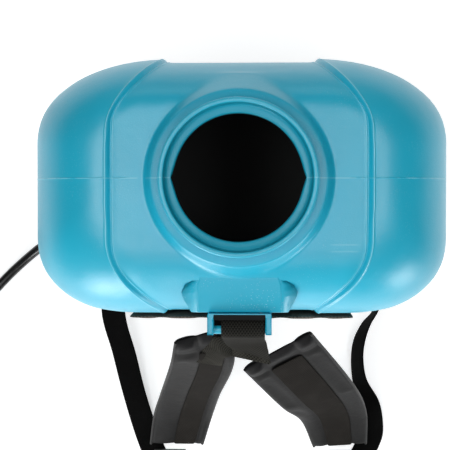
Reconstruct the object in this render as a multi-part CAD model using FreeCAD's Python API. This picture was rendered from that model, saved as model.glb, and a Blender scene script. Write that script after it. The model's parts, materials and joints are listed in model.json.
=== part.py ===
import FreeCAD, Part
import math
import os

# A battery knapsack sprayer standing on its base, with its hose coiled and its lance laid beside it.
# Millimetres. +Z is up, +Y points away from the wearer, +X is the wearer's left.
# The origin is the centre of the base's underside.

V = FreeCAD.Vector
X, Y, Z = V(1, 0, 0), V(0, 1, 0), V(0, 0, 1)

# Tank
TANK_HALF_X = 190.0      # half width at the widest level
TANK_HALF_Y = 118.0      # half depth at the widest level
FOOT_HALF_X = 177.0
FOOT_HALF_Y = 106.0
FOOT_CORNER_R = 62.0
TANK_FLOOR_Z = 132.0
SHOULDER_Z = 345.0       # where the walls start to curve in
PLATEAU_Z = 430.0        # top of the raised side lobes
PLATEAU_HALF_X = 120.0
PLATEAU_FRONT_Y = 69.0
PLATEAU_BACK_Y = -56.0
CORNER_R = 76.0
WALL = 3.0
BAND_DEPTH = 3.0         # the middle band lies this much below the lobes
BAND_HALF_X = 117.0
BAND_END_HALF_X = 68.0   # half width of the band where it meets the front and back walls

# Filler neck
NECK_Y = 6.5
NECK_R = 68.5
NECK_BORE_R = 63.5
LEDGE_R = 55.0
LEDGE_Z = 450.0
COLLAR_R = 75.0
COLLAR_Z = 438.0
RIM_Z = 462.0

# Strap bracket and the moulded boss that carries it
BOSS_BACK_Y = -113.0
BOSS_LOW_Z, BOSS_TOP_Z = 378.0, 414.0
BAR_Y, BAR_Z, BAR_R = -128.5, 400.0, 3.8
ARM_OUT_Y = -132.5
BRACKET_HALF_X = 28.0
ARM_THICK = 5.0
WEB_LEFT_X, WEB_RIGHT_X = -16.5, 22.6

# Base
BASE_HALF_X = 172.0
BASE_HALF_Y = 103.0
BASE_CORNER_R = 55.0
COVER_THICK = 3.0
DECK_Z = 129.0
POSTS = [(sx * 137.0, sy * 76.0) for sx in (-1, 1) for sy in (-1, 1)]

# Battery bay, open at the front
BAY_HALF_X = 52.0
BAY_LOW_Z, BAY_HIGH_Z = 10.0, 92.0
BAY_BACK_Y = -42.0
BAY_WALL = 3.0
CELL_R, CELL_LONG = 9.1, 65.0

# Pump and motor, on one axis along Y
PUMP_X, PUMP_Z = -95.0, 42.0
PUMP_HALF = 28.0
PUMP_BACK_Y, PUMP_FRONT_Y = -80.0, -30.0
MOTOR_R = 21.0
MOTOR_END_Y = 46.0
SHAFT_R = 2.5
BARB_R = 6.0
OUTLET_X, OUTLET_Y = -110.0, -56.0   # tank outlet, straight above the pump inlet

# Control panel on the right-hand wall
PANEL_X = 172.0
ROCKER_Z, ROCKER_Y = 88.0, -18.0
KNOB_Y, KNOB_Z = -18.0, 58.0
SOCKET_Y, SOCKET_Z = 18.0, 58.0

# Hose
HOSE_D = 11.0
HOSE_Z = 5.8             # centre height of the hose lying on the floor
COIL_X, COIL_Y = -372.9, -108.0
COIL_R = 60.0
COIL_TURNS = 1.884
GLAND_Y, GLAND_Z = -58.0, 34.0
HOSE_LEAD = [
    (-200.4, -58, 34), (-236, -61, 26.5), (-264, -82, 12.5), (-292, -107, 6), (-330, -150, HOSE_Z),
]
HOSE_TAIL = [
    (-313.4, -115.3, 26.3), (-319, -162, 23.5), (-328, -222, 8.8), (-336, -282, HOSE_Z), (-365, -311, HOSE_Z),
    (-405, -319, HOSE_Z), (-443, -303, HOSE_Z), (-465.5, -269, 10.5), (-465.5, -229.3, 17.5),
]

# Lance and its handle, lying along +Y with the trigger facing -X
WAND_X, WAND_Z = -465.5, 17.5
GRIP_START_Y, GRIP_END_Y = -205.0, -50.0
GRIP_BACK, GRIP_FRONT = 17.5, 19.5   # the grip's reach from its axis, away from the trigger and towards it
GRIP_HALF_Z = 17.0
SCREW_YS = (-190.0, -150.0, -58.0)
PIVOT_OUT, PIVOT_Y, PIVOT_R = 13.0, -72.0, 2.0
STEM_Y, STEM_R = -97.0, 2.5
LANCE_START_Y, LANCE_END_Y = -46.0, 235.0
INNER_END_Y = 252.0


def box(corner, opposite):
    low = [min(a, b) for a, b in zip(corner, opposite)]
    size = [abs(a - b) for a, b in zip(corner, opposite)]
    return Part.makeBox(*size, V(*low))


def rod(radius, start, end):
    line = V(*end) - V(*start)
    return Part.makeCylinder(radius, line.Length, V(*start), line)


def tube(outer, inner, start, end):
    return rod(outer, start, end).cut(rod(inner, start, end))


def joined(shapes):
    whole = shapes[0]
    for shape in shapes[1:]:
        whole = whole.fuse(shape)
    return whole.removeSplitter()


def prism(points, direction):
    loop = [V(*p) for p in points]
    return Part.Face(Part.makePolygon(loop + loop[:1])).extrude(direction)


def turned(profile, centre_x, centre_y):
    """A closed outline of (radius, height) pairs turned about a vertical axis."""
    loop = [V(centre_x + r, centre_y, z) for r, z in profile]
    face = Part.Face(Part.makePolygon(loop + loop[:1]))
    return face.revolve(V(centre_x, centre_y, 0), Z, 360)


def rounded_loop(half_x, front_y, back_y, radius, z):
    """A horizontal rectangle with round corners, as one wire."""
    corners = [(half_x, front_y, 0), (-half_x, front_y, 90), (-half_x, back_y, 180), (half_x, back_y, 270)]
    arcs = []
    for x, y, start in corners:
        centre = V(x - math.copysign(radius, x), y - math.copysign(radius, y), z)
        arcs.append(Part.makeCircle(radius, centre, Z, start, start + 90))
    edges = []
    for i, arc in enumerate(arcs):
        follower = arcs[(i + 1) % 4]
        edges += [arc, Part.makeLine(arc.valueAt(arc.LastParameter), follower.valueAt(follower.FirstParameter))]
    return Part.Wire(edges)


def rounded_block(half_x, half_y, radius, low_z, high_z):
    return Part.Face(rounded_loop(half_x, half_y, -half_y, radius, low_z)).extrude(V(0, 0, high_z - low_z))


# ---------------------------------------------------------------- tank

def tank_form(inset):
    """The tank's outer form, shrunk all round by an inset."""
    loops = [
        rounded_loop(FOOT_HALF_X - inset, FOOT_HALF_Y - inset, inset - FOOT_HALF_Y, FOOT_CORNER_R - inset,
                     TANK_FLOOR_Z + inset),
    ]
    for degrees in (0, 24, 45, 63, 78, 90):
        turn = math.radians(degrees)
        fall, rise = 1 - math.cos(turn), math.sin(turn)
        half_x = TANK_HALF_X - (TANK_HALF_X - PLATEAU_HALF_X) * fall - inset
        front = TANK_HALF_Y - (TANK_HALF_Y - PLATEAU_FRONT_Y) * fall - inset
        back = -TANK_HALF_Y + (TANK_HALF_Y + PLATEAU_BACK_Y) * fall + inset
        radius = CORNER_R - 30 * fall - inset
        height = SHOULDER_Z + (PLATEAU_Z - SHOULDER_Z) * rise - inset * rise
        loops.append(rounded_loop(half_x, front, back, radius, height))
    return Part.makeLoft(loops, True, True)


def band_prism(grow):
    """A tall prism on the plan of the recessed middle band: straight beside the neck, curving in at its ends."""
    wide, narrow = BAND_HALF_X + grow, BAND_END_HALF_X + grow
    straight, end = 62.0, 130.0
    right = [V(wide, NECK_Y - straight, 0), V(wide, NECK_Y + straight, 0)]
    front_arc = Part.Arc(right[1], V(wide - 14, NECK_Y + straight + 30, 0), V(narrow, end, 0)).toShape()
    back_arc = Part.Arc(V(narrow, -end, 0), V(wide - 14, NECK_Y - straight - 30, 0), right[0]).toShape()
    half = [back_arc, Part.makeLine(*right), front_arc]
    mirror = [e.mirror(V(0, 0, 0), X) for e in half]
    caps = [Part.makeLine(V(-narrow, y, 0), V(narrow, y, 0)) for y in (-end, end)]
    loop = Part.Wire(Part.__sortEdges__(half + mirror + caps))
    return Part.Face(loop).extrude(V(0, 0, 500))


def make_tank():
    wall_form = tank_form(BAND_DEPTH).fuse(tank_form(0).cut(band_prism(0)))
    cavity = tank_form(BAND_DEPTH + WALL).fuse(tank_form(WALL).cut(band_prism(WALL)))
    neck = turned([(0, 412), (86, 412), (82.5, 429), (COLLAR_R, 434), (COLLAR_R, COLLAR_Z), (NECK_R, COLLAR_Z),
                   (NECK_R, RIM_Z), (0, RIM_Z)], 0, NECK_Y)
    neck_hollow = turned([(0, 405), (74, 405), (74, 427), (65, 436), (65, LEDGE_Z - 4), (LEDGE_R, LEDGE_Z - 4),
                          (LEDGE_R, LEDGE_Z), (NECK_BORE_R, LEDGE_Z), (NECK_BORE_R, RIM_Z + 1), (0, RIM_Z + 1)],
                         0, NECK_Y)
    boss_plan = [(-44, -83), (44, -83), (51.5, -96), (45, BOSS_BACK_Y), (-45, BOSS_BACK_Y), (-51.5, -96)]
    boss = prism([(x, y, BOSS_LOW_Z) for x, y in boss_plan], V(0, 0, BOSS_TOP_Z - BOSS_LOW_Z))
    solid = wall_form.fuse(neck).cut(cavity).fuse(boss).cut(neck_hollow)
    outlet = rod(11.2, (OUTLET_X, OUTLET_Y, 120), (OUTLET_X, OUTLET_Y, 140))
    screw_holes = [rod(1.9, (x, BOSS_BACK_Y + 14, BAR_Z), (x, BOSS_BACK_Y - 1, BAR_Z)) for x in (-19, 19)]
    return solid.cut(outlet).cut(screw_holes[0]).cut(screw_holes[1])


def make_outlet_filter():
    """A dome strainer that stands over the outlet inside the tank."""
    low = TANK_FLOOR_Z + BAND_DEPTH + WALL + 5.3
    dome = turned([(0, low), (14, low), (14, low + 18), (10, low + 24), (0, low + 26)], OUTLET_X, OUTLET_Y)
    hollow = turned([(0, low - 1), (12, low - 1), (12, low + 17), (0, low + 23)], OUTLET_X, OUTLET_Y)
    slots = []
    for rise in (3, 7, 11):
        slots.append(box((OUTLET_X - 20, OUTLET_Y - 20, low + rise), (OUTLET_X + 20, OUTLET_Y + 20, low + rise + 1.5)))
    cage = dome.cut(hollow)
    spine = box((OUTLET_X - 2, OUTLET_Y - 14, low + 2), (OUTLET_X + 2, OUTLET_Y + 14, low + 16)).common(cage)
    for slot in slots:
        cage = cage.cut(slot)
    return joined([cage, spine])


def make_outlet_fitting():
    """A flanged tail that hangs through the tank floor and ends in a hose barb."""
    seat = TANK_FLOOR_Z + BAND_DEPTH + WALL
    body = joined([
        rod(18, (OUTLET_X, OUTLET_Y, seat + 2.2), (OUTLET_X, OUTLET_Y, seat + 5.2)),
        rod(11, (OUTLET_X, OUTLET_Y, 112), (OUTLET_X, OUTLET_Y, seat + 3)),
        rod(BARB_R, (OUTLET_X, OUTLET_Y, 92), (OUTLET_X, OUTLET_Y, 113)),
    ])
    return body.cut(rod(4, (OUTLET_X, OUTLET_Y, 90), (OUTLET_X, OUTLET_Y, 145)))


def make_outlet_seal():
    seat = TANK_FLOOR_Z + BAND_DEPTH + WALL
    return tube(17, 11.1, (OUTLET_X, OUTLET_Y, seat + 0.1), (OUTLET_X, OUTLET_Y, seat + 2.1))


def make_outlet_nut():
    corners = [(OUTLET_X + 18 * math.cos(math.radians(a)), OUTLET_Y + 18 * math.sin(math.radians(a)), 117)
               for a in range(0, 360, 60)]
    return prism(corners, V(0, 0, 11.8)).cut(rod(11.05, (OUTLET_X, OUTLET_Y, 110), (OUTLET_X, OUTLET_Y, 135)))


def make_suction_hose():
    return tube(9, BARB_R + 0.05, (OUTLET_X, OUTLET_Y, 74), (OUTLET_X, OUTLET_Y, 108))


# ---------------------------------------------------------------- harness

def make_strap_bracket():
    plate = box((-BRACKET_HALF_X, BOSS_BACK_Y - 4, 385), (BRACKET_HALF_X, BOSS_BACK_Y, 412))
    pieces = [plate]
    for side in (-1, 1):
        inner = side * (BRACKET_HALF_X - ARM_THICK)
        outer = side * BRACKET_HALF_X
        low_x, high_x = min(inner, outer), max(inner, outer)
        arm_side = [(BOSS_BACK_Y - 2, 387), (BOSS_BACK_Y - 2, 409), (ARM_OUT_Y, 405), (ARM_OUT_Y, 395)]
        pieces.append(prism([(low_x, y, z) for y, z in arm_side], V(high_x - low_x, 0, 0)))
    pieces.append(rod(BAR_R, (-BRACKET_HALF_X + 2, BAR_Y, BAR_Z), (BRACKET_HALF_X - 2, BAR_Y, BAR_Z)))
    bracket = joined(pieces)
    for x in (-19, 19):
        bracket = bracket.cut(rod(2.3, (x, -105, BAR_Z), (x, -120, BAR_Z)))
    return bracket


def make_bracket_screws():
    screws = []
    for x in (-19, 19):
        head = rod(3.4, (x, BOSS_BACK_Y - 6.4, BAR_Z), (x, BOSS_BACK_Y - 4, BAR_Z))
        shank = rod(1.85, (x, BOSS_BACK_Y - 5, BAR_Z), (x, BOSS_BACK_Y + 12, BAR_Z))
        cross = joined([box((x - 2, -122, BAR_Z - 0.4), (x + 2, BOSS_BACK_Y - 5.4, BAR_Z + 0.4)),
                        box((x - 0.4, -122, BAR_Z - 2), (x + 0.4, BOSS_BACK_Y - 5.4, BAR_Z + 2))])
        screws.append(head.fuse(shank).cut(cross))
    return Part.makeCompound(screws)


def slab(stations, thickness):
    """A strap as a solid. Each station is its centre and its half-width vector; thickness is square to both."""
    loops = []
    for i, (centre, half) in enumerate(stations):
        before = V(*stations[max(i - 1, 0)][0])
        after = V(*stations[min(i + 1, len(stations) - 1)][0])
        along = after - before
        normal = along.cross(V(*half)).normalize() * (thickness / 2)
        c, h = V(*centre), V(*half)
        ring = [c + h + normal, c - h + normal, c - h - normal, c + h - normal]
        loops.append(Part.makePolygon(ring + ring[:1]))
    return Part.makeLoft(loops, True, True)


def make_yoke_webbing():
    """A doubled band that loops round the crossbar and hangs down behind it."""
    middle = (WEB_LEFT_X + WEB_RIGHT_X) / 2
    half = ((WEB_RIGHT_X - WEB_LEFT_X) / 2, 0, 0)
    ring = tube(BAR_R + 2.8, BAR_R + 0.5, (WEB_LEFT_X, BAR_Y, BAR_Z), (WEB_RIGHT_X, BAR_Y, BAR_Z))
    fall = slab([((middle, -134.8, 398), half), ((middle, -139, 372), half), ((middle + 2, -149, 340), half),
                 ((middle + 4, -156, 325), half)], 3.4)
    return joined([ring, fall])


def make_back_pad():
    low, high = 160, 345
    def edge(z, front, back, half):
        ring = [V(-half, front, z), V(half, front, z), V(half, back, z), V(-half, back, z)]
        return Part.makePolygon(ring + ring[:1])
    return Part.makeLoft([edge(low, -108.6, -116, 98), edge(high, -118.8, -126, 105)], True, True)


PAD_LEFT = [((-41, -143, 306), (24, 7, 4)), ((-40, -171, 266), (31, 2, 0)), ((-62, -228, 128), (32, 0, 0)),
            ((-74, -262, 62), (33, 0, 0)), ((-84, -302, 20), (31, 0, 0))]
PAD_RIGHT = [((34, -162, 272), (33, 20, 14)), ((78, -222, 160), (37, 14, 6)), ((100, -258, 76), (36, 6, 0)),
             ((110, -302, 20), (31, 2, 0))]
LOWER_LEFT = [((-150, -108, 44), (14, 0, 0)), ((-157.5, -144, 38), (14, 0, 0)), ((-146, -195, 26), (14, 0, 0)),
              ((-134.5, -247, 14), (14, 0, 0)), ((-119, -300, 3), (15, 0, 0)), ((-100, -345, 3), (15, 4, 0))]
LOWER_RIGHT = [((150, -108, 44), (14, 0, 0)), ((150, -128, 41.5), (8, 0, 11)), ((150, -143, 38), (1.8, 0, 14)),
               ((140.5, -157, 34), (3.8, 0, 13.5)), ((132.5, -177, 30), (5.8, 0, 12.5)),
               ((130, -198, 26), (6.4, 0, 12)), ((133, -224, 20), (8, 0, 11.5)), ((143, -250, 14), (13, 0, 6)),
               ((148, -276, 6), (14, 0, 2)), ((146, -300, 3), (15, 0, 0)), ((122, -345, 3), (15, -4, 0))]


def make_buckle(centre_x, centre_y):
    """A ladder-lock buckle lying flat: a frame with two crossbars."""
    low_z, high_z = 8.0, 13.0
    frame = box((centre_x - 19, centre_y - 15, low_z), (centre_x + 19, centre_y + 15, high_z))
    for slot_y in (-9.5, 0, 9.5):
        frame = frame.cut(box((centre_x - 15.5, centre_y + slot_y - 3, low_z - 1),
                              (centre_x + 15.5, centre_y + slot_y + 3, high_z + 1)))
    return frame


# ---------------------------------------------------------------- base

def make_base_housing():
    outer = rounded_block(BASE_HALF_X, BASE_HALF_Y, BASE_CORNER_R, COVER_THICK + 0.1, TANK_FLOOR_Z)
    inner = rounded_block(BASE_HALF_X - WALL, BASE_HALF_Y - WALL, BASE_CORNER_R - WALL, 0, DECK_Z)
    shell = outer.cut(inner)
    posts = [rod(5.5, (x, y, COVER_THICK + 0.1), (x, y, DECK_Z + 1)) for x, y in POSTS]
    lugs = []
    for side in (-1, 1):
        lug = box((side * 150 - 20, -BASE_HALF_Y - 9, 34), (side * 150 + 20, -BASE_HALF_Y + 22, 40))
        wall = rounded_block(BASE_HALF_X - 1, BASE_HALF_Y - 1, BASE_CORNER_R - 1, 0, DECK_Z)
        slot = box((side * 150 - 16, -BASE_HALF_Y - 5, 30), (side * 150 + 16, -BASE_HALF_Y - 1, 45))
        lugs.append(lug.cut(wall).cut(slot))
    shell = joined([shell] + posts + lugs)
    openings = [
        box((-BAY_HALF_X - 0.3, 60, BAY_LOW_Z - 0.3), (BAY_HALF_X + 0.3, 120, BAY_HIGH_Z + 0.3)),
        box((160, -36, 42), (180, 36, 104)),
        rod(8.2, (-160, GLAND_Y, GLAND_Z), (-180, GLAND_Y, GLAND_Z)),
        rod(20, (OUTLET_X, OUTLET_Y, 120), (OUTLET_X, OUTLET_Y, 140)),
    ] + [rod(1.6, (x, y, 0), (x, y, 18)) for x, y in POSTS]
    for opening in openings:
        shell = shell.cut(opening)
    return shell


def make_base_cover():
    plate = rounded_block(BASE_HALF_X, BASE_HALF_Y, BASE_CORNER_R, 0, COVER_THICK)
    gap = WALL + 0.3
    lip = rounded_block(BASE_HALF_X - gap, BASE_HALF_Y - gap, BASE_CORNER_R - gap, COVER_THICK - 1, 8)
    gap += 2.5
    lip = lip.cut(rounded_block(BASE_HALF_X - gap, BASE_HALF_Y - gap, BASE_CORNER_R - gap, 0, 9))
    cover = plate.fuse(lip)
    for x, y in POSTS:
        cover = cover.cut(rod(2.3, (x, y, -1), (x, y, 5))).cut(rod(4.3, (x, y, -1), (x, y, 1.6)))
    return cover


def make_base_screws():
    screws = [rod(4.0, (x, y, 0.2), (x, y, 1.5)).fuse(rod(1.55, (x, y, 1), (x, y, 15))) for x, y in POSTS]
    return Part.makeCompound(screws)


def make_battery_bay():
    sleeve = box((-BAY_HALF_X, BAY_BACK_Y, BAY_LOW_Z), (BAY_HALF_X, BASE_HALF_Y - 0.3, BAY_HIGH_Z))
    inside = box((-BAY_HALF_X + BAY_WALL, BAY_BACK_Y + BAY_WALL, BAY_LOW_Z + BAY_WALL),
                 (BAY_HALF_X - BAY_WALL, 120, BAY_HIGH_Z - BAY_WALL))
    sleeve = sleeve.cut(inside)
    feet = [box((x - 6, y - 6, COVER_THICK + 0.1), (x + 6, y + 6, BAY_LOW_Z))
            for x in (-38, 38) for y in (-20, 75)]
    sleeve = joined([sleeve] + feet)
    for x in (-20, 20):
        sleeve = sleeve.cut(box((x - 1.3, -45, 40), (x + 1.3, -35, 62)))
    return sleeve


def make_bay_terminals():
    blades = [box((x - 1.2, -52, 41), (x + 1.2, -26, 61)) for x in (-20, 20)]
    return Part.makeCompound(blades)


def make_battery_case():
    body = box((-48, -34, 14), (48, 103.4, 88))
    hollow = box((-45, -22, 17), (45, 94, 85))
    face = box((-51.5, 103.3, 10.5), (51.5, 110, 91.5))
    grip = box((-30, 106, 20), (30, 111, 50))
    case = joined([body, face]).cut(hollow).cut(grip)
    for x in (-20, 20):
        case = case.cut(box((x - 1.7, -35, 39), (x + 1.7, -24.5, 63)))
    return case.cut(box((-12.3, 105, 74.5), (12.3, 111, 88)))


def make_battery_cells():
    cells = [rod(CELL_R, (x, -10, z), (x, -10 + CELL_LONG, z))
             for x in (-28.8, -9.6, 9.6, 28.8) for z in (31.5, 51, 70.5)]
    return Part.makeCompound(cells)


def make_battery_latch():
    button = box((-12, 105.3, 78.3), (12, 112, 87.7))
    return button.cut(box((-9, 111.2, 80), (9, 113, 86)))


# ---------------------------------------------------------------- pump and motor

def make_pump_head():
    low_z, high_z = PUMP_Z - PUMP_HALF, PUMP_Z + PUMP_HALF
    block = box((PUMP_X - PUMP_HALF, PUMP_BACK_Y, low_z), (PUMP_X + PUMP_HALF, PUMP_FRONT_Y, high_z))
    inlet = rod(BARB_R, (OUTLET_X, OUTLET_Y, high_z - 2), (OUTLET_X, OUTLET_Y, 89))
    outlet = rod(BARB_R, (PUMP_X - PUMP_HALF + 2, GLAND_Y, GLAND_Z), (-140, GLAND_Y, GLAND_Z))
    head = joined([block, inlet, outlet])
    chamber = rod(20, (PUMP_X, -74, PUMP_Z), (PUMP_X, PUMP_FRONT_Y + 1, PUMP_Z))
    ways = [rod(3.5, (OUTLET_X, OUTLET_Y, 60), (OUTLET_X, OUTLET_Y, 90)),
            rod(3.5, (-110, GLAND_Y, GLAND_Z), (-141, GLAND_Y, GLAND_Z))]
    return head.cut(chamber).cut(ways[0]).cut(ways[1])


def make_diaphragm():
    disc = rod(19.8, (PUMP_X, -69.8, PUMP_Z), (PUMP_X, -67.3, PUMP_Z))
    bead = tube(19.8, 17, (PUMP_X, -68, PUMP_Z), (PUMP_X, -65, PUMP_Z))
    return joined([disc, bead])


def make_motor_can():
    can = rod(MOTOR_R, (PUMP_X, PUMP_FRONT_Y + 0.1, PUMP_Z), (PUMP_X, MOTOR_END_Y, PUMP_Z))
    can = can.cut(rod(MOTOR_R - 1.5, (PUMP_X, -27, PUMP_Z), (PUMP_X, MOTOR_END_Y - 3, PUMP_Z)))
    return can.cut(rod(5.05, (PUMP_X, -35, PUMP_Z), (PUMP_X, 50, PUMP_Z)))


def make_motor_bearings():
    return Part.makeCompound([tube(5, SHAFT_R + 0.05, (PUMP_X, y, PUMP_Z), (PUMP_X, y + 4, PUMP_Z))
                              for y in (-30.5, MOTOR_END_Y - 3.5)])


def make_motor_rotor():
    shaft = rod(SHAFT_R, (PUMP_X, -52, PUMP_Z), (PUMP_X, MOTOR_END_Y + 2, PUMP_Z))
    core = rod(15, (PUMP_X, -20, PUMP_Z), (PUMP_X, 28, PUMP_Z))
    for turn in range(0, 360, 60):
        angle = math.radians(turn)
        x, z = PUMP_X + 14 * math.cos(angle), PUMP_Z + 14 * math.sin(angle)
        core = core.cut(rod(2.2, (x, -21, z), (x, 29, z)))
    commutator = rod(6, (PUMP_X, 30, PUMP_Z), (PUMP_X, 38, PUMP_Z))
    flat = box((PUMP_X - 5, -53, PUMP_Z + 1.8), (PUMP_X + 5, -44, PUMP_Z + 5))
    return joined([shaft, core, commutator]).cut(flat)


def make_eccentric():
    cam = rod(11, (PUMP_X + 2.5, -52, PUMP_Z), (PUMP_X + 2.5, -44.5, PUMP_Z))
    shaft = rod(SHAFT_R, (PUMP_X, -53, PUMP_Z), (PUMP_X, -44, PUMP_Z))
    shaft = shaft.cut(box((PUMP_X - 5, -54, PUMP_Z + 1.8), (PUMP_X + 5, -43, PUMP_Z + 5)))
    return cam.cut(shaft)


def make_pressure_switch():
    body = rod(9, (PUMP_X, PUMP_BACK_Y - 12, PUMP_Z), (PUMP_X, PUMP_BACK_Y, PUMP_Z))
    tabs = []
    for x in (PUMP_X - 4.5, PUMP_X + 4.5):
        tabs.append(box((x - 2.4, PUMP_BACK_Y - 17, PUMP_Z - 0.4), (x + 2.4, PUMP_BACK_Y - 11, PUMP_Z + 0.4)))
    return joined([body] + tabs)


def make_pump_mounts():
    """Four rubber blocks under the pump head."""
    return Part.makeCompound([rod(6, (PUMP_X + dx, y, COVER_THICK), (PUMP_X + dx, y, PUMP_Z - PUMP_HALF))
                              for dx in (-20, 20) for y in (-72, -38)])


def make_hose_gland():
    """A threaded outlet held in the wall by its flange, with a barb at each end."""
    at = lambda x: (x, GLAND_Y, GLAND_Z)
    body = joined([rod(11.5, at(-172.1), at(-177)), rod(8, at(-160), at(-174)), rod(BARB_R, at(-149), at(-161)),
                   rod(3.9, at(-176), at(-198))])
    return body.cut(rod(2.6, at(-140), at(-200)))


def make_gland_nut():
    """The nut and tapered collar that grip the hose outside the wall."""
    at = lambda x: (x, GLAND_Y, GLAND_Z)
    grip = Part.makeCylinder(10.5, 12, V(*at(-177.2)), -X)
    taper = Part.makeCone(9, 7.2, 11, V(*at(-189.2)), -X)
    nut = grip.fuse(taper)
    for turn in range(0, 360, 30):
        angle = math.radians(turn)
        groove = rod(0.8, (-177, GLAND_Y + 10.6 * math.cos(angle), GLAND_Z + 10.6 * math.sin(angle)),
                     (-190, GLAND_Y + 10.6 * math.cos(angle), GLAND_Z + 10.6 * math.sin(angle)))
        nut = nut.cut(groove)
    return nut.cut(rod(3.95, at(-170), at(-205)))


def make_delivery_hose():
    return tube(8.5, BARB_R + 0.05, (-128, GLAND_Y, GLAND_Z), (-158, GLAND_Y, GLAND_Z))


# ---------------------------------------------------------------- control panel

def make_control_panel():
    flange = box((PANEL_X + 0.1, -42, 36), (PANEL_X + 3, 42, 110))
    spigot = box((PANEL_X - 8, -35.5, 42.5), (PANEL_X + 1, 35.5, 103.5))
    spigot = spigot.cut(box((PANEL_X - 9, -33, 45), (PANEL_X + 0.1, 33, 101)))
    panel = joined([flange, spigot])
    panel = panel.cut(box((160, ROCKER_Y - 7.2, ROCKER_Z - 10.6), (180, ROCKER_Y + 7.2, ROCKER_Z + 10.6)))
    panel = panel.cut(rod(3.6, (160, KNOB_Y, KNOB_Z), (180, KNOB_Y, KNOB_Z)))
    panel = panel.cut(rod(6.2, (160, SOCKET_Y, SOCKET_Z), (180, SOCKET_Y, SOCKET_Z)))
    return panel.cut(box((160, 6, 80), (180, 30, 94)))


def make_switch_body():
    body = box((PANEL_X - 20, ROCKER_Y - 8, ROCKER_Z - 12), (PANEL_X - 0.1, ROCKER_Y + 8, ROCKER_Z + 12))
    return body.cut(rod(10.2, (PANEL_X, ROCKER_Y - 7.2, ROCKER_Z), (PANEL_X, ROCKER_Y + 7.2, ROCKER_Z)))


def make_rocker():
    drum = rod(9.8, (PANEL_X, ROCKER_Y - 6.8, ROCKER_Z), (PANEL_X, ROCKER_Y + 6.8, ROCKER_Z))
    outside = prism([(PANEL_X - 6, ROCKER_Y - 8, ROCKER_Z - 12), (PANEL_X + 7, ROCKER_Y - 8, ROCKER_Z - 12),
                     (PANEL_X + 4, ROCKER_Y - 8, ROCKER_Z), (PANEL_X + 5.5, ROCKER_Y - 8, ROCKER_Z + 12),
                     (PANEL_X - 6, ROCKER_Y - 8, ROCKER_Z + 12)], V(0, 16, 0))
    return drum.common(outside)


def make_knob():
    cap = rod(13, (PANEL_X + 3.8, KNOB_Y, KNOB_Z), (PANEL_X + 17, KNOB_Y, KNOB_Z))
    for turn in range(0, 360, 30):
        y = KNOB_Y + 13.4 * math.cos(math.radians(turn))
        z = KNOB_Z + 13.4 * math.sin(math.radians(turn))
        cap = cap.cut(rod(1.2, (PANEL_X + 6, y, z), (PANEL_X + 18, y, z)))
    pointer = box((PANEL_X + 16.2, KNOB_Y - 0.8, KNOB_Z + 3), (PANEL_X + 18, KNOB_Y + 0.8, KNOB_Z + 14))
    stem = rod(3, (PANEL_X - 8, KNOB_Y, KNOB_Z), (PANEL_X + 5, KNOB_Y, KNOB_Z))
    return joined([cap.cut(pointer), stem])


def make_speed_control():
    body = rod(8, (PANEL_X - 16, KNOB_Y, KNOB_Z), (PANEL_X - 3, KNOB_Y, KNOB_Z))
    return body.cut(rod(3.06, (PANEL_X - 9, KNOB_Y, KNOB_Z), (PANEL_X, KNOB_Y, KNOB_Z)))


def make_gauge_lens():
    return joined([box((PANEL_X - 1, 6.2, 80.2), (PANEL_X + 3, 29.8, 93.8)),
                   box((PANEL_X - 2, 4, 78), (PANEL_X - 0.2, 32, 96))])


def make_charging_socket():
    body = rod(6, (PANEL_X - 14, SOCKET_Y, SOCKET_Z), (PANEL_X + 3, SOCKET_Y, SOCKET_Z))
    body = body.cut(rod(3.2, (PANEL_X - 9, SOCKET_Y, SOCKET_Z), (PANEL_X + 4, SOCKET_Y, SOCKET_Z)))
    return joined([body, rod(1, (PANEL_X - 10, SOCKET_Y, SOCKET_Z), (PANEL_X + 1, SOCKET_Y, SOCKET_Z))])


def make_socket_flap():
    disc = rod(9, (PANEL_X + 3.4, SOCKET_Y, SOCKET_Z), (PANEL_X + 5.6, SOCKET_Y, SOCKET_Z))
    arm = box((PANEL_X + 3.4, SOCKET_Y - 4, SOCKET_Z), (PANEL_X + 5.6, SOCKET_Y + 4, SOCKET_Z + 12))
    hinge_x, hinge_z = PANEL_X + 4.9, SOCKET_Z + 12
    barrel = rod(1.6, (hinge_x, SOCKET_Y - 4, hinge_z), (hinge_x, SOCKET_Y + 4, hinge_z))
    return joined([disc, arm, barrel])


# ---------------------------------------------------------------- hose

def cord_path(points):
    """Straight runs joined by tangent arcs, and the smallest arc radius."""
    spots = [V(*p) for p in points]
    edges, radii, start = [], [], spots[0]
    for before, corner, after in zip(spots, spots[1:], spots[2:]):
        back, forth = (before - corner), (after - corner)
        reach = 0.45 * min(back.Length, forth.Length)
        half_turn = (math.pi - back.getAngle(forth)) / 2
        radii.append(reach / math.tan(half_turn))
        back.normalize()
        forth.normalize()
        enter, leave = corner + back * reach, corner + forth * reach
        inward = (back + forth).normalize()
        apex = corner + inward * (radii[-1] / math.cos(half_turn) - radii[-1])
        edges += [Part.LineSegment(start, enter).toShape(), Part.Arc(enter, apex, leave).toShape()]
        start = leave
    edges.append(Part.LineSegment(start, spots[-1]).toShape())
    return Part.Wire(edges), radii


def make_hose_run(name, points):
    path, radii = cord_path(points)
    first = (V(*points[1]) - V(*points[0])).normalize()
    section = Part.Wire(Part.makeCircle(HOSE_D / 2, V(*points[0]), first))
    solid = path.makePipeShell([section], True, False)
    expected = math.pi * HOSE_D ** 2 / 4 * path.Length
    print(name, "length", round(path.Length, 1), "radii", [round(r) for r in radii],
          "volume ratio", round(solid.Volume / expected, 4))
    return solid


def make_hose_coil():
    height = HOSE_D * (COIL_TURNS + 1)
    print("coil hose length", round(2 * math.pi * COIL_R * COIL_TURNS, 1))
    return tube(COIL_R + HOSE_D / 2, COIL_R - HOSE_D / 2, (COIL_X, COIL_Y, 0), (COIL_X, COIL_Y, height))


# ---------------------------------------------------------------- handle and lance

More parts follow.
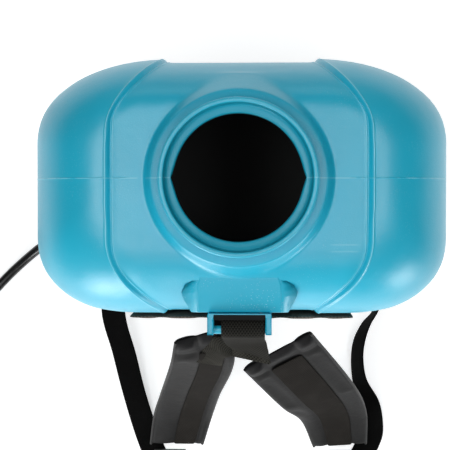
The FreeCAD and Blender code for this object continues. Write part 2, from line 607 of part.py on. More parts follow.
def along(y, out=0, up=0):
    """A point beside the lance's axis: how far along it, how far out towards the trigger, and how far up."""
    return (WAND_X - out, y, WAND_Z + up)


def grip_block():
    """The whole handle before it is split into its two shells."""
    block = box(along(GRIP_START_Y, -GRIP_BACK, -GRIP_HALF_Z), along(GRIP_END_Y, GRIP_FRONT, GRIP_HALF_Z))
    long_edges = [e for e in block.Edges if abs(e.tangentAt(e.FirstParameter).y) > 0.9]
    block = block.makeFillet(9, long_edges)
    hollows = [
        rod(7, along(-210), along(-40)),
        box(along(-172, 7.3, -6.2), along(-62, 25, 6.2)),
        rod(3.2, along(STEM_Y), along(STEM_Y, 25)),
        box(along(-122, -11.5, -6.2), along(-88, -25, 6.2)),
        rod(PIVOT_R, along(PIVOT_Y, PIVOT_OUT, -14.5), along(PIVOT_Y, PIVOT_OUT, 14.5)),
    ]
    for y in SCREW_YS:
        hollows.append(rod(1.6, along(y, -11.5, -11), along(y, -11.5, 20)))
        hollows.append(rod(3, along(y, -11.5, 11), along(y, -11.5, 20)))
    for hollow in hollows:
        block = block.cut(hollow)
    return block


def make_grip_shells():
    whole = grip_block()
    split = 0.02
    lower = whole.common(box(along(-250, -40, -30), along(0, 40, -split)))
    upper = whole.common(box(along(-250, -40, split), along(0, 40, 30)))
    return lower, upper


def make_grip_screws():
    screws = [rod(1.55, along(y, -11.5, -9), along(y, -11.5, 12)).fuse(
        rod(2.9, along(y, -11.5, 11.7), along(y, -11.5, 14))) for y in SCREW_YS]
    return Part.makeCompound(screws)


def make_valve_body():
    body = joined([rod(6.8, along(-203), along(-46)), rod(3.9, along(-228), along(-200))])
    body = body.cut(rod(2.6, along(-230), along(-140))).cut(rod(2.6, along(-90), along(-40)))
    return body.cut(rod(STEM_R + 0.05, along(STEM_Y, -5), along(STEM_Y, 15)))


def make_valve_stem():
    return joined([rod(STEM_R, along(STEM_Y, -1), along(STEM_Y, 18.5)),
                   rod(2.9, along(STEM_Y, 18), along(STEM_Y, 21.3))])


def make_trigger():
    half = 5.7
    outline = [(-76, 10), (-66, 16.5), (-68, 23.5), (-100, 32.5), (-165, 32.5), (-170, 28.5), (-165, 24.5),
               (-104, 22.1), (-88, 22.1), (-80, 15.5)]
    lever = prism([along(y, out, -half) for y, out in outline], V(0, 0, 2 * half))
    eye = rod(5.2, along(PIVOT_Y, PIVOT_OUT, -half), along(PIVOT_Y, PIVOT_OUT, half))
    pin_way = rod(PIVOT_R + 0.06, along(PIVOT_Y, PIVOT_OUT, -20), along(PIVOT_Y, PIVOT_OUT, 20))
    return joined([lever, eye]).cut(pin_way)


def make_trigger_pin():
    return rod(PIVOT_R - 0.02, along(PIVOT_Y, PIVOT_OUT, -14), along(PIVOT_Y, PIVOT_OUT, 14))


def make_trigger_lock():
    button = box(along(-104, -11.9, -5.8), along(-90, -20.5, 5.8))
    for y in (-101, -97, -93):
        button = button.cut(box(along(y - 0.6, -19.5, -7), along(y + 0.6, -22, 7)))
    return button


def make_hose_nut():
    nut = rod(10.5, along(-229), along(-205.3))
    for turn in range(0, 360, 30):
        angle = math.radians(turn)
        x, z = WAND_X + 10.6 * math.cos(angle), WAND_Z + 10.6 * math.sin(angle)
        nut = nut.cut(rod(0.8, (x, -230, z), (x, -206, z)))
    return nut.cut(rod(3.95, along(-240), along(-200)))


def make_lance_nut():
    corners = []
    for turn in range(0, 360, 60):
        angle = math.radians(turn)
        corners.append(along(GRIP_END_Y + 0.2, 13 * math.cos(angle), 13 * math.sin(angle)))
    nut = prism(corners, V(0, 18, 0))
    return nut.cut(rod(6.85, along(-55), along(-45.9))).cut(rod(6.55, along(-46), along(-20)))


def make_lance_outer():
    return tube(6.5, 5.3, along(LANCE_START_Y + 0.2), along(LANCE_END_Y))


def make_lance_inner():
    return tube(5.2, 4.0, along(LANCE_START_Y + 8), along(INNER_END_Y))


def make_lance_collet():
    collet = rod(10.5, along(LANCE_END_Y - 14), along(LANCE_END_Y + 8))
    for turn in range(0, 360, 36):
        angle = math.radians(turn)
        x, z = WAND_X + 10.8 * math.cos(angle), WAND_Z + 10.8 * math.sin(angle)
        collet = collet.cut(rod(0.9, (x, LANCE_END_Y - 12, z), (x, LANCE_END_Y + 6, z)))
    return collet.cut(rod(6.6, along(200), along(LANCE_END_Y + 0.2))).cut(rod(5.3, along(200), along(260)))


def make_nozzle_body():
    body = joined([rod(8, along(INNER_END_Y - 6), along(262)), rod(5, along(260), along(274))])
    return body.cut(rod(5.25, along(240), along(INNER_END_Y + 0.1))).cut(rod(2, along(250), along(280)))


def make_nozzle_cap():
    cap = rod(10.5, along(262.4), along(282))
    for turn in range(0, 360, 30):
        angle = math.radians(turn)
        x, z = WAND_X + 10.8 * math.cos(angle), WAND_Z + 10.8 * math.sin(angle)
        cap = cap.cut(rod(0.9, (x, 262, z), (x, 276, z)))
    cap = cap.cut(rod(6.85, along(260), along(275))).cut(rod(1, along(270), along(290)))
    return cap.cut(Part.makeCone(1, 5, 5, V(*along(277.5)), Y))


def export(node, shape):
    shape.exportStep("parts/" + node + ".step")
    state = "valid" if shape.isValid() else "NOT VALID"
    print(node, state, len(shape.Solids), round(shape.Volume / 1000, 2), "cm3")


def main():
    os.makedirs("parts", exist_ok=True)
    grip_lower, grip_upper = make_grip_shells()
    nodes = {
        "tank": make_tank(),
        "outlet_filter": make_outlet_filter(),
        "outlet_fitting": make_outlet_fitting(),
        "outlet_seal": make_outlet_seal(),
        "outlet_nut": make_outlet_nut(),
        "suction_hose": make_suction_hose(),
        "strap_bracket": make_strap_bracket(),
        "bracket_screws": make_bracket_screws(),
        "yoke_webbing": make_yoke_webbing(),
        "back_pad": make_back_pad(),
        "shoulder_pad_left": slab(PAD_LEFT, 12),
        "shoulder_pad_right": slab(PAD_RIGHT, 12),
        "lower_strap_left": slab(LOWER_LEFT, 2.4),
        "lower_strap_right": slab(LOWER_RIGHT, 2.4),
        "strap_buckles": Part.makeCompound([make_buckle(-93, -327), make_buckle(115, -327)]),
        "base_housing": make_base_housing(),
        "base_cover": make_base_cover(),
        "base_screws": make_base_screws(),
        "battery_bay": make_battery_bay(),
        "bay_terminals": make_bay_terminals(),
        "battery_case": make_battery_case(),
        "battery_cells": make_battery_cells(),
        "battery_latch": make_battery_latch(),
        "pump_head": make_pump_head(),
        "pump_diaphragm": make_diaphragm(),
        "motor_can": make_motor_can(),
        "motor_bearings": make_motor_bearings(),
        "motor_rotor": make_motor_rotor(),
        "drive_eccentric": make_eccentric(),
        "pressure_switch": make_pressure_switch(),
        "pump_mounts": make_pump_mounts(),
        "hose_gland": make_hose_gland(),
        "gland_nut": make_gland_nut(),
        "delivery_hose": make_delivery_hose(),
        "control_panel": make_control_panel(),
        "switch_body": make_switch_body(),
        "rocker_switch": make_rocker(),
        "pressure_knob": make_knob(),
        "speed_control": make_speed_control(),
        "gauge_lens": make_gauge_lens(),
        "charging_socket": make_charging_socket(),
        "socket_flap": make_socket_flap(),
        "hose_lead": make_hose_run("hose_lead", HOSE_LEAD),
        "hose_coil": make_hose_coil(),
        "hose_tail": make_hose_run("hose_tail", HOSE_TAIL),
        "grip_shell_lower": grip_lower,
        "grip_shell_upper": grip_upper,
        "grip_screws": make_grip_screws(),
        "valve_body": make_valve_body(),
        "valve_stem": make_valve_stem(),
        "trigger": make_trigger(),
        "trigger_pin": make_trigger_pin(),
        "trigger_lock": make_trigger_lock(),
        "hose_nut": make_hose_nut(),
        "lance_nut": make_lance_nut(),
        "lance_outer": make_lance_outer(),
        "lance_inner": make_lance_inner(),
        "lance_collet": make_lance_collet(),
        "nozzle_body": make_nozzle_body(),
        "nozzle_cap": make_nozzle_cap(),
    }
    for node, shape in nodes.items():
        export(node, shape)


main()
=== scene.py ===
import json
import math

import bmesh
import bpy
from mathutils import Matrix, Vector

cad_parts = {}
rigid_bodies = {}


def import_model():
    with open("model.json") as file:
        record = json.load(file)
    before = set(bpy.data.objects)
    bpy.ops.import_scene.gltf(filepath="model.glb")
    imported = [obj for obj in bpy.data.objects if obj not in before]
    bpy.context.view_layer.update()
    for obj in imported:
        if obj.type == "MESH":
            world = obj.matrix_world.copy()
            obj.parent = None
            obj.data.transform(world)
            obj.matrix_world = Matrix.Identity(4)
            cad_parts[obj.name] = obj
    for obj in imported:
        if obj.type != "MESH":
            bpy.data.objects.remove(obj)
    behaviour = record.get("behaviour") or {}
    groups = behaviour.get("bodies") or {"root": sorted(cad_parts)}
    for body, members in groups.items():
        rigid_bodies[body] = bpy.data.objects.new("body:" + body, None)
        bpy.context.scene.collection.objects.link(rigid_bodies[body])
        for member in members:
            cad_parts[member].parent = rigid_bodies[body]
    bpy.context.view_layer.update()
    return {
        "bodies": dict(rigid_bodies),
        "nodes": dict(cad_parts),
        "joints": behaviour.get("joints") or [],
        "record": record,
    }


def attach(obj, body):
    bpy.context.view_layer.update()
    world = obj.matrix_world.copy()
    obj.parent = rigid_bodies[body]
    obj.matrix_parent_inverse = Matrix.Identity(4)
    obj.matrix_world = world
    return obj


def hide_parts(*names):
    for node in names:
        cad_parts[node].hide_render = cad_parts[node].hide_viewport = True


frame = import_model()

# %% [markdown]
# # A knapsack sprayer, dressed for its portrait
# The working parts, their sizes and their joints come from the engineering model, which is loaded above.
# This lesson gives each visible piece its real surface: the moulded tank, the woven straps, the padded shoulder
# bands, the hose.

# %% [markdown]
# ## Camera
# The sprayer is seen from straight above, a little to the right of its middle, so the mouth of the tank looks
# back at us as a black disc. A long lens keeps the tall tank from swelling towards us.

# %% Camera above the tank
MM = 0.001
LENS_MM = 103.12
eye = Vector((27, -12.6, 1550)) * MM
target = Vector((-14.9, -35.9, 350)) * MM
camera = bpy.data.objects.new("camera", bpy.data.cameras.new("camera"))
camera.data.lens = LENS_MM
camera.location = eye
back = (eye - target).normalized()
side = Vector((0, 1, 0)).cross(back).normalized()
camera.rotation_euler = Matrix((side, back.cross(side), back)).transposed().to_euler()
bpy.context.collection.objects.link(camera)
bpy.context.scene.camera = camera
print("lens", round(LENS_MM, 1), "mm, height", round(eye.z, 2), "m")

# %% [markdown]
# ## Putting a finished mesh into the scene
# Every piece below is shaped in millimetres, because that is how the real parts are measured. One helper turns
# the finished bmesh into an object in metres, hands it its materials, and lets it ride on its part of the model.

# %% Helper that delivers a piece
def deliver(bm, name, materials, smooth=True):
    bmesh.ops.scale(bm, vec=Vector((MM, MM, MM)), verts=bm.verts)
    mesh = bpy.data.meshes.new(name)
    bm.to_mesh(mesh)
    bm.free()
    piece = bpy.data.objects.new(name, mesh)
    for material in materials:
        mesh.materials.append(material)
    for polygon in mesh.polygons:
        polygon.use_smooth = smooth
    bpy.context.collection.objects.link(piece)
    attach(piece, "sprayer")
    print(name, len(mesh.polygons), "faces")
    return piece


def add_modifier(piece, kind, **settings):
    modifier = piece.modifiers.new(kind.title(), kind)
    for key, value in settings.items():
        setattr(modifier, key, value)
    return modifier


# %% [markdown]
# ## Shader arithmetic
# A finish is a small sum of patterns: some grain, some scuffs, some dirt. Wrapping a socket in a class with
# overloaded operators lets us write those sums as plain expressions instead of wiring Math nodes by hand.

# %% Signal and finish
class Signal:
    """One output socket that can be used in a sum."""

    def __init__(self, tree, socket):
        self.tree, self.socket = tree, socket

    def _math(self, operation, first, second):
        node = self.tree.nodes.new("ShaderNodeMath")
        node.operation = operation
        for slot, value in zip(node.inputs, (first, second)):
            if isinstance(value, Signal):
                self.tree.links.new(value.socket, slot)
            else:
                slot.default_value = value
        return Signal(self.tree, node.outputs[0])

    def __add__(self, other):
        return self._math("ADD", self, other)

    def __radd__(self, other):
        return self._math("ADD", other, self)

    def __sub__(self, other):
        return self._math("SUBTRACT", self, other)

    def __rsub__(self, other):
        return self._math("SUBTRACT", other, self)

    def __mul__(self, other):
        return self._math("MULTIPLY", self, other)

    def __rmul__(self, other):
        return self._math("MULTIPLY", other, self)

    def size(self):
        return self._math("ABSOLUTE", self, 0)

    def wave(self):
        return self._math("SINE", self, 0)


class Finish:
    """A material in the making, with one principled shader."""

    def __init__(self, name, **constants):
        self.material = bpy.data.materials.new(name)
        self.material.use_nodes = True
        self.tree = self.material.node_tree
        self.shader = self.tree.nodes["Principled BSDF"]
        for key, value in constants.items():
            self.shader.inputs[key.replace("_", " ")].default_value = value

    def node(self, kind, settings=None, values=None, out=0):
        node = self.tree.nodes.new(kind)
        for key, value in (settings or {}).items():
            if key == "stops":
                for i, (place, colour) in enumerate(value):
                    stop = node.color_ramp.elements[i] if i < 2 else node.color_ramp.elements.new(place)
                    stop.position, stop.color = place, (*colour, 1)
            else:
                setattr(node, key, value)
        for key, value in (values or {}).items():
            slot = node.inputs[key]
            if isinstance(value, Signal):
                self.tree.links.new(value.socket, slot)
            else:
                slot.default_value = value
        return Signal(self.tree, node.outputs[out])

    def place(self, kind="Object"):
        return self.node("ShaderNodeTexCoord", out=kind)

    def axis(self, which, place=None):
        return self.node("ShaderNodeSeparateXYZ", values={0: place or self.place()}, out=which)

    def noise(self, scale, detail=3.0, rough=0.55, place=None):
        values = {"Vector": place or self.place(), "Scale": scale, "Detail": detail, "Roughness": rough}
        return self.node("ShaderNodeTexNoise", values=values)

    def blend(self, mask, first, second):
        first = first if isinstance(first, Signal) else (*first, 1)
        second = second if isinstance(second, Signal) else (*second, 1)
        return self.node("ShaderNodeMix", {"data_type": "RGBA"}, {0: mask, 6: first, 7: second}, out=2)

    def fade(self, value, low, high):
        """0 below low, 1 above high, smooth between."""
        values = {"Value": value, "From Min": low, "From Max": high}
        return self.node("ShaderNodeMapRange", {"interpolation_type": "SMOOTHSTEP"}, values)

    def bump(self, height, distance, strength=1.0, under=None):
        values = {"Height": height, "Distance": distance, "Strength": strength}
        if under:
            values["Normal"] = under
        return self.node("ShaderNodeBump", values=values)

    def round_edges(self, radius):
        return self.node("ShaderNodeBevel", {"samples": 4}, {"Radius": radius})

    def feed(self, **signals):
        for key, signal in signals.items():
            self.tree.links.new(signal.socket, self.shader.inputs[key.replace("_", " ")])
        return self.material


print("shader helpers ready")

# %% [markdown]
# ## The hose
# The spray hose is 11 mm black rubber, about 1.25 m long. It drops from its nut at the left of the base to the
# ground and leaves to the left. What we don't need is wound in a neat coil, and its end goes into the lance's
# handle. A cord is best drawn as one NURBS spline: the points pull the line like a hand does.
# Rubber is nearly black and shiny, with fine lengthwise streaks from the mould and a little dust.

# %% Rubber
def rubber(name, shade, roughness, grain):
    finish = Finish(name)
    dust = finish.noise(60, 4)
    fine = finish.noise(grain, 2)
    colour = finish.blend(finish.fade(dust, 0.45, 0.8) * 0.35, (shade,) * 3, (shade * 2.4 + 0.01,) * 3)
    bump = finish.bump(fine, 0.00015, 0.5)
    return finish.feed(Base_Color=colour, Roughness=roughness + 0.15 * dust, Normal=bump)


hose_rubber = rubber("hose_rubber", 0.006, 0.16, 900)
seal_rubber = rubber("seal_rubber", 0.012, 0.55, 1400)
print(hose_rubber.name, seal_rubber.name)

# %% Route of the hose
HOSE_D = 11.0
COIL_X, COIL_Y, COIL_R = -372.9, -108.0, 60.0
COIL_TURNS = 1.884
FLOOR_Z = 5.8
hose_lead = [(-200.4, -58, 34), (-236, -61, 26.5), (-264, -82, 12.5), (-292, -107, 6), (-330, -150, FLOOR_Z)]
hose_tail = [
    (-313.4, -115.3, 26.3), (-319, -162, 23.5), (-328, -222, 8.8), (-336, -282, FLOOR_Z), (-365, -311, FLOOR_Z),
    (-405, -319, FLOOR_Z), (-443, -303, FLOOR_Z), (-465.5, -269, 10.5), (-465.5, -229.3, 17.5),
]
route = list(hose_lead)
COIL_STEPS = 28
entry = math.radians(-44.4)
for i in range(1, COIL_STEPS):
    share = i / COIL_STEPS
    angle = entry - share * COIL_TURNS * 2 * math.pi
    rise = FLOOR_Z + HOSE_D * COIL_TURNS * share
    route.append((COIL_X + COIL_R * math.cos(angle), COIL_Y + COIL_R * math.sin(angle), rise))
route += hose_tail
print(len(route), "points in the hose's route")

# %% The hose as one spline
def nurbs_tube(name, places, radius, material, roundness, fineness=12):
    """A round tube on one smooth spline; its control points and its radius are in millimetres."""
    curve = bpy.data.curves.new(name, "CURVE")
    curve.dimensions = "3D"
    spline = curve.splines.new("NURBS")
    spline.points.add(len(places) - 1)
    for point, place in zip(spline.points, places):
        point.co = (*(Vector(place) * MM), 1)
    spline.order_u = 3
    spline.use_endpoint_u = True
    spline.resolution_u = fineness
    curve.bevel_depth = radius * MM
    curve.bevel_resolution = roundness
    curve.use_fill_caps = True
    curve.materials.append(material)
    piece = bpy.data.objects.new(name, curve)
    bpy.context.collection.objects.link(piece)
    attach(piece, "sprayer")
    return piece


hose = nurbs_tube("spray_hose", route, HOSE_D / 2, hose_rubber, 6, 8)
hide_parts("hose_lead", "hose_coil", "hose_tail")

# %% [markdown]
# ## Studio
# Product pictures of moulded plastic are lit with big soft boxes, so that the rounded shoulders carry long calm
# highlights. Two towers stand on the wearer's side and light the shoulders at a flat angle, the left one more
# strongly. Wide boxes overhead fill the top, and a weak one lights the front. The ground is a white sweep that
# glows, so the shadows stay faint.

# %% White sweep
sweep = Finish("sweep_paint", Roughness=0.9)
tone = sweep.noise(3, 2)
sweep.shader.inputs["Emission Strength"].default_value = 0.6
glow = sweep.blend(sweep.fade(sweep.axis(1), -0.35, 0.25), (0.95, 0.95, 0.95), (1, 1, 1))
sweep.feed(Base_Color=sweep.blend(tone, (0.86, 0.86, 0.86), (0.89, 0.89, 0.89)), Emission_Color=glow)
bm = bmesh.new()
bmesh.ops.create_grid(bm, x_segments=1, y_segments=1, size=30)
floor_mesh = bpy.data.meshes.new("studio_floor")
bm.to_mesh(floor_mesh)
bm.free()
floor = bpy.data.objects.new("studio_floor", floor_mesh)
floor_mesh.materials.append(sweep.material)
floor.location.z = -0.0005
bpy.context.collection.objects.link(floor)
print("floor laid")


# %% Soft boxes
def soft_box(name, place, aim, wide, tall, power):
    light = bpy.data.lights.new(name, "AREA")
    light.shape = "RECTANGLE"
    light.size, light.size_y = wide, tall
    light.energy = power
    lamp = bpy.data.objects.new(name, light)
    lamp.location = place
    lamp.rotation_euler = (Vector(aim) - Vector(place)).to_track_quat("-Z", "Y").to_euler()
    bpy.context.collection.objects.link(lamp)
    return lamp


soft_box("tower_left", (-0.72, -1.6, 0.45), (-0.1, -0.1, 0.4), 0.7, 1.0, 20)
soft_box("tower_right", (1.2, -1.35, 0.4), (0.1, -0.1, 0.35), 0.45, 0.7, 9)
soft_box("box_left", (-0.6, -1.6, 1.3), (-0.1, -0.1, 0.4), 0.6, 0.6, 2.5)
soft_box("box_rear", (0, -1.2, 2.4), (0, 0, 0.3), 1.6, 0.8, 7)
soft_box("top_left", (-0.6, 0, 2.3), (0, 0, 0.4), 1.0, 0.7, 13.5)
soft_box("top_right", (0.6, 0, 2.3), (0, 0, 0.4), 1.0, 0.7, 11)
soft_box("box_front", (0, 2.2, 1.3), (0, 0, 0.3), 1.8, 0.9, 6)
world = bpy.data.worlds.new("studio_air")
world.use_nodes = True
world.node_tree.nodes["Background"].inputs[0].default_value = (0.93, 0.96, 1.0, 1)
world.node_tree.nodes["Background"].inputs[1].default_value = 0.1
bpy.context.scene.world = world
bpy.context.scene.view_settings.view_transform = "Standard"
print("lights on")

# %% [markdown]
# ## The plastic of the tank
# The tank is blow moulded from teal polyethylene. Such a skin is never quite flat: it has a slow waviness from
# cooling, a fine grain from the mould, a line where the mould halves met, painted paler as the highlight on its
# raised flash, and small bright scuffs where things have rubbed on it. Each of these is one pattern, and the
# finish is their sum.

# %% Teal polyethylene
PARTING_Y = 6.5
TEALS = (0.006, 0.362, 0.520), (0.010, 0.398, 0.565)
PALE_SEAM = (0.30, 0.66, 0.75)
INSERT_LINES_Y = (-51.6, -57.5)


def teal_plastic(name, scuffs, tone=1.0, gloss=0.7, lip_highlights=False):
    finish = Finish(name, Specular_IOR_Level=gloss)
    depth_axis = finish.axis(1)
    cloud = finish.noise(7, 3)
    grain = finish.noise(900, 2)
    ripple = finish.noise(38, 2)
    speck = finish.node("ShaderNodeTexVoronoi", {"feature": "F1"}, {"Scale": 560, "Vector": finish.place()})
    rare = finish.noise(34, 4)
    scuff = finish.fade(0.2 - speck, 0.0, 0.1) * finish.fade(rare, 0.42, 0.66) * scuffs
    seam = 1 - finish.fade((depth_axis - PARTING_Y * MM).size(), 0.0002, 0.0008)
    broken_seam_highlight = seam * finish.fade(finish.noise(95, 4), 0.34, 0.55)
    deep, pale = [[c * tone for c in shade] for shade in TEALS]
    colour = finish.blend(finish.fade(cloud, 0.3, 0.7), deep, pale)
    # Pale teal painted along the step's two convex lips: a painted highlight where the lips catch the side lights.
    if lip_highlights:
        across = finish.axis(0, finish.node("ShaderNodeUVMap", {"uv_map": "step"}))
        lip_highlight = sum(strength * (1 - finish.fade((across - place).size(), 0.02, 0.075))
                  for place, strength in ((0.15, 0.5), (0.87, 1.0)))
        patchy_highlight = 0.2 + 0.5 * finish.fade(finish.noise(16, 3), 0.35, 0.6)
        colour = finish.blend(lip_highlight * patchy_highlight, colour, (0.25, 0.66, 0.78))
    # Pale teal painted along the parting line, broken into pieces: a painted highlight for the light caught on the
    # raised flash.
    colour = finish.blend(broken_seam_highlight * 0.35, colour, PALE_SEAM)
    x_axis = finish.axis(0)
    flat = finish.fade(x_axis, 0.076, 0.084) * (1 - finish.fade(x_axis, 0.100, 0.108))
    flat = flat * finish.fade(finish.axis(2), 0.418, 0.424)
    for line in INSERT_LINES_Y:
        joint = 1 - finish.fade((depth_axis - line * MM).size(), 0.0003, 0.0010)
        colour = finish.blend(joint * flat * 0.2, colour, PALE_SEAM)
    colour = finish.blend(scuff * 0.75, colour, (0.72, 0.90, 0.94))
    rough = 0.29 + 0.08 * finish.noise(55, 3) + 0.05 * grain + 0.15 * scuff
    wave = finish.bump(ripple, 0.0011, 0.35)
    skin = finish.bump(grain + scuff * 0.6, 0.00022, 0.55, wave)
    return finish.feed(Base_Color=colour, Roughness=rough, Normal=skin)


tank_teal = teal_plastic("tank_teal", 0.22, lip_highlights=True)
boss_teal = teal_plastic("boss_teal", 0.6)
# A darker, less glossy copy of the teal for the inside of the neck and its ledge: painted shade, as little light
# reaches in there.
neck_inside_shaded = teal_plastic("neck_inside_shaded_teal", 0.0, 0.8, 0.35)
# The inside of the tank is painted near-black: painted shade for the dark that fills the tank beyond the neck.
inside_shade_black = Finish("tank_inside_shade_black", Roughness=0.7)
mottle = inside_shade_black.noise(30, 3)
inside_shade_black = inside_shade_black.feed(Base_Color=inside_shade_black.blend(mottle, (0.0006, 0.0012, 0.0018), (0.001, 0.002, 0.003)))
print(tank_teal.name, boss_teal.name, inside_shade_black.name)

# %% [markdown]
# ## The form of the tank
# Looked at level by level, the tank is a rounded rectangle: upright walls first, then a shoulder that curves in to
# a flat top. A band across the middle lies 3 mm lower than the two side lobes, and its edge sweeps outwards from
# the walls to the top. We could sculpt this, but a formula is more exact: we cut a cube into columns and rows and
# then move every corner of that net to the place which the formula gives it.

# %% Sizes of the tank, level by level
WALL_SHARE = 0.5
FOOT_Z, SHOULDER_Z, TOP_Z = 132, 345, 430
# Half width, then depth and the corner's two radii at the front, then the same at the back
FOOT = (177, 106, 107, 62, 106, 76, 58)
SHOULDER = (190, 118, 120, 72, 118, 84, 64)
TOP = (120, 69, 46, 46, 56, 46, 46)
BAND_DEPTH = 3.0
STEP_HALF = 4.4
BAND_END, STEP_END = 0.5, 0.62
BAND_WIDEST, BAND_NARROWEST = 113.5, 69.0
SIDE_ARC = 0.7
SEAM_ROWS = 0.03
SEAM_HALF = 1.4
SEAM_RIDGE = 0.4


def mix(start, end, share):
    return start + (end - start) * share


def tank_level(w):
    """Half width, height and fall for w from 0 (foot) to 1 (top), then depth and corner of front and back."""
    if w <= WALL_SHARE:
        share = w / WALL_SHARE
        low, high, z, fall = FOOT, SHOULDER, mix(FOOT_Z, SHOULDER_Z, share), 0.0
    else:
        turn = (w - WALL_SHARE) / (1 - WALL_SHARE) * math.pi / 2
        share = fall = 1 - math.cos(turn)
        low, high, z = SHOULDER, TOP, mix(SHOULDER_Z, TOP_Z, math.sin(turn))
    half_x, *walls = [mix(a, b, share) for a, b in zip(low, high)]
    return half_x, z, fall, walls[:3], walls[3:]


def slope(turn, y):
    """Depth of the front or back slope at this turn, and its outward direction."""
    full, top = (SHOULDER[1], TOP[1]) if y > 0 else (SHOULDER[4], TOP[4])
    outward = Vector((0, math.cos(turn) / (full - top), math.sin(turn) / (TOP_Z - SHOULDER_Z)))
    return mix(full, top, 1 - math.cos(turn)), outward.normalized()


def corner_split(fall):
    """Turn at which a rounded corner passes from the front or back wall to the side wall."""
    return math.radians(45 + 33 * fall)


def band_edge(y):
    """Half width of the sunken band at depth y."""
    front, back = max(0.0, y - 60) / 56, max(0.0, -56 - y) / 58
    return max(BAND_NARROWEST, BAND_WIDEST - 44 * front ** 1.35 - 44 * back ** 1.78)


print("band edge at front wall, top and back wall:", band_edge(118), band_edge(0), band_edge(-118))


# %% Where a point of the net goes in plan
def wall_point(s, w, front):
    """A point of the front or back wall, s from 0 in the middle to 1 at the corner."""
    half_x, z, fall, *walls = tank_level(w)
    y_wall, rx, ry = walls[0 if front else 1]
    sign = 1 if front else -1
    straight = half_x - rx
    split = corner_split(fall)

    def depth(x):
        return y_wall - ry * (1 - math.cos(math.asin(min(1.0, max(0.0, x - straight) / rx))))

    edge = band_edge(sign * y_wall) if w > WALL_SHARE else BAND_NARROWEST
    if w > WALL_SHARE:
        for _ in range(4):
            edge = band_edge(sign * depth(edge))
    if s <= BAND_END:
        x = s / BAND_END * (edge - STEP_HALF)
    elif s <= STEP_END:
        x = edge - STEP_HALF + 2 * STEP_HALF * (s - BAND_END) / (STEP_END - BAND_END)
    else:
        share = (s - STEP_END) / (1 - STEP_END)
        begin = edge + STEP_HALF
        start = math.asin(min(0.99, max(0.0, begin - straight) / rx))
        bent = straight + rx * math.sin(start + (split - start) * share)
        x = max(begin, bent) if begin > straight else begin + (bent - begin) * min(1.0, share * 2.5)
    return x, sign * depth(x)


def side_point(v, w):
    """A point of the right side wall, v from -1 at the back corner to 1 at the front corner."""
    half_x, z, fall, *walls = tank_level(w)
    y_wall, rx, ry = walls[0 if v > 0 else 1]
    sign = 1 if v > 0 else -1
    near = PARTING_Y * sign
    t = abs(v)
    if t <= SEAM_ROWS:
        return half_x, sign * (near + t / SEAM_ROWS * SEAM_HALF)
    if t <= SIDE_ARC:
        share = (t - SEAM_ROWS) / (SIDE_ARC - SEAM_ROWS)
        return half_x, sign * (near + SEAM_HALF + share * (y_wall - ry - near - SEAM_HALF))
    split = corner_split(fall)
    turn = math.pi / 2 - (math.pi / 2 - split) * (t - SIDE_ARC) / (1 - SIDE_ARC)
    return half_x - rx + rx * math.sin(turn), sign * (y_wall - ry + ry * math.cos(turn))


def sheet_point(u, v, w):
    """A point of the flat top or of the underside, blended between its four edges."""
    front, back = Vector(wall_point(abs(u), w, True)), Vector(wall_point(abs(u), w, False))
    side = Vector(side_point(v, w))
    front_corner, back_corner = Vector(wall_point(1, w, True)), Vector(wall_point(1, w, False))
    a, b = (v + 1) / 2, abs(u)
    x = back.x + (front.x - back.x) * a + b * (side.x - back_corner.x - (front_corner.x - back_corner.x) * a)
    y = back.y + (front.y - back.y) * a + side.y - back_corner.y - (front_corner.y - back_corner.y) * a
    return x, y


# %% Where a point of the net goes in space
def smooth(t):
    t = min(1.0, max(0.0, t))
    return t * t * (3 - 2 * t)


def band_sunk(t):
    """Depth below the lobes across the step: band, low lip, short slope, high lip, lobe."""
    slope = smooth((t - 0.30) / 0.40)
    low_lip = 0.75 * math.exp(-((t - 0.16) / 0.10) ** 2)
    high_lip = 0.75 * math.exp(-((t - 0.86) / 0.10) ** 2)
    return BAND_DEPTH * (1 - slope) - low_lip - high_lip


def tank_point(u, v, w):
    if abs(v) > 0.999:
        x, y = wall_point(abs(u), w, v > 0)
    elif abs(u) > 0.999:
        x, y = side_point(v, w)
    else:
        x, y = sheet_point(u, v, w)
    z = tank_level(w)[1]
    sunk = band_sunk((abs(u) - BAND_END) / (STEP_END - BAND_END))
    turn = max(0.0, (w - WALL_SHARE) / (1 - WALL_SHARE)) * math.pi / 2
    if abs(v) > 0.999 and abs(u) < 0.999:
        normal = slope(turn, v)[1]
        y -= sunk * normal.y * math.copysign(1, v)
        z -= sunk * normal.z
    elif w > 0.999:
        z -= sunk
    ridge = SEAM_RIDGE if abs(v) < 0.004 else 0.0
    if w > 0.999:
        z += ridge
    elif abs(u) > 0.999:
        x += ridge * math.cos(turn)
        z += ridge * math.sin(turn)
    return Vector((math.copysign(x, u), y, z))


print("corner of the foot", [round(c, 1) for c in tank_point(1, 1, 0)])

# %% [markdown]
# The filler neck grows out of the top and out of both slopes, so its foot is not flat. Its surface is the higher
# of two heights: the body under it, and a flared drum around the neck. A soft maximum of the two leaves the
# rounded inside corner which a blow mould always has.

# %% Heights around the neck
def soft_max(a, b, width):
    return max(a, b) + width * math.log1p(math.exp(-abs(a - b) / width))


def band_height(y):
    """Height of the sunken band at depth y, found by halving the range of the slope's turn."""
    low, high = 0.0, math.pi / 2
    for _ in range(22):
        turn = (low + high) / 2
        depth, normal = slope(turn, y)
        if depth - BAND_DEPTH * normal.y > abs(y):
            low = turn
        else:
            high = turn
    return mix(SHOULDER_Z, TOP_Z, math.sin(low)) - BAND_DEPTH * normal.z


def drum_height(radius):
    """A collar that falls gently outwards, then the steep side of the drum."""
    return -soft_max((radius - 69.0) * 0.22 - 438.2, (radius - 77.4) * 1.75 - 436.4, 0.5)


print("band height at front of the neck", round(band_height(90), 1))

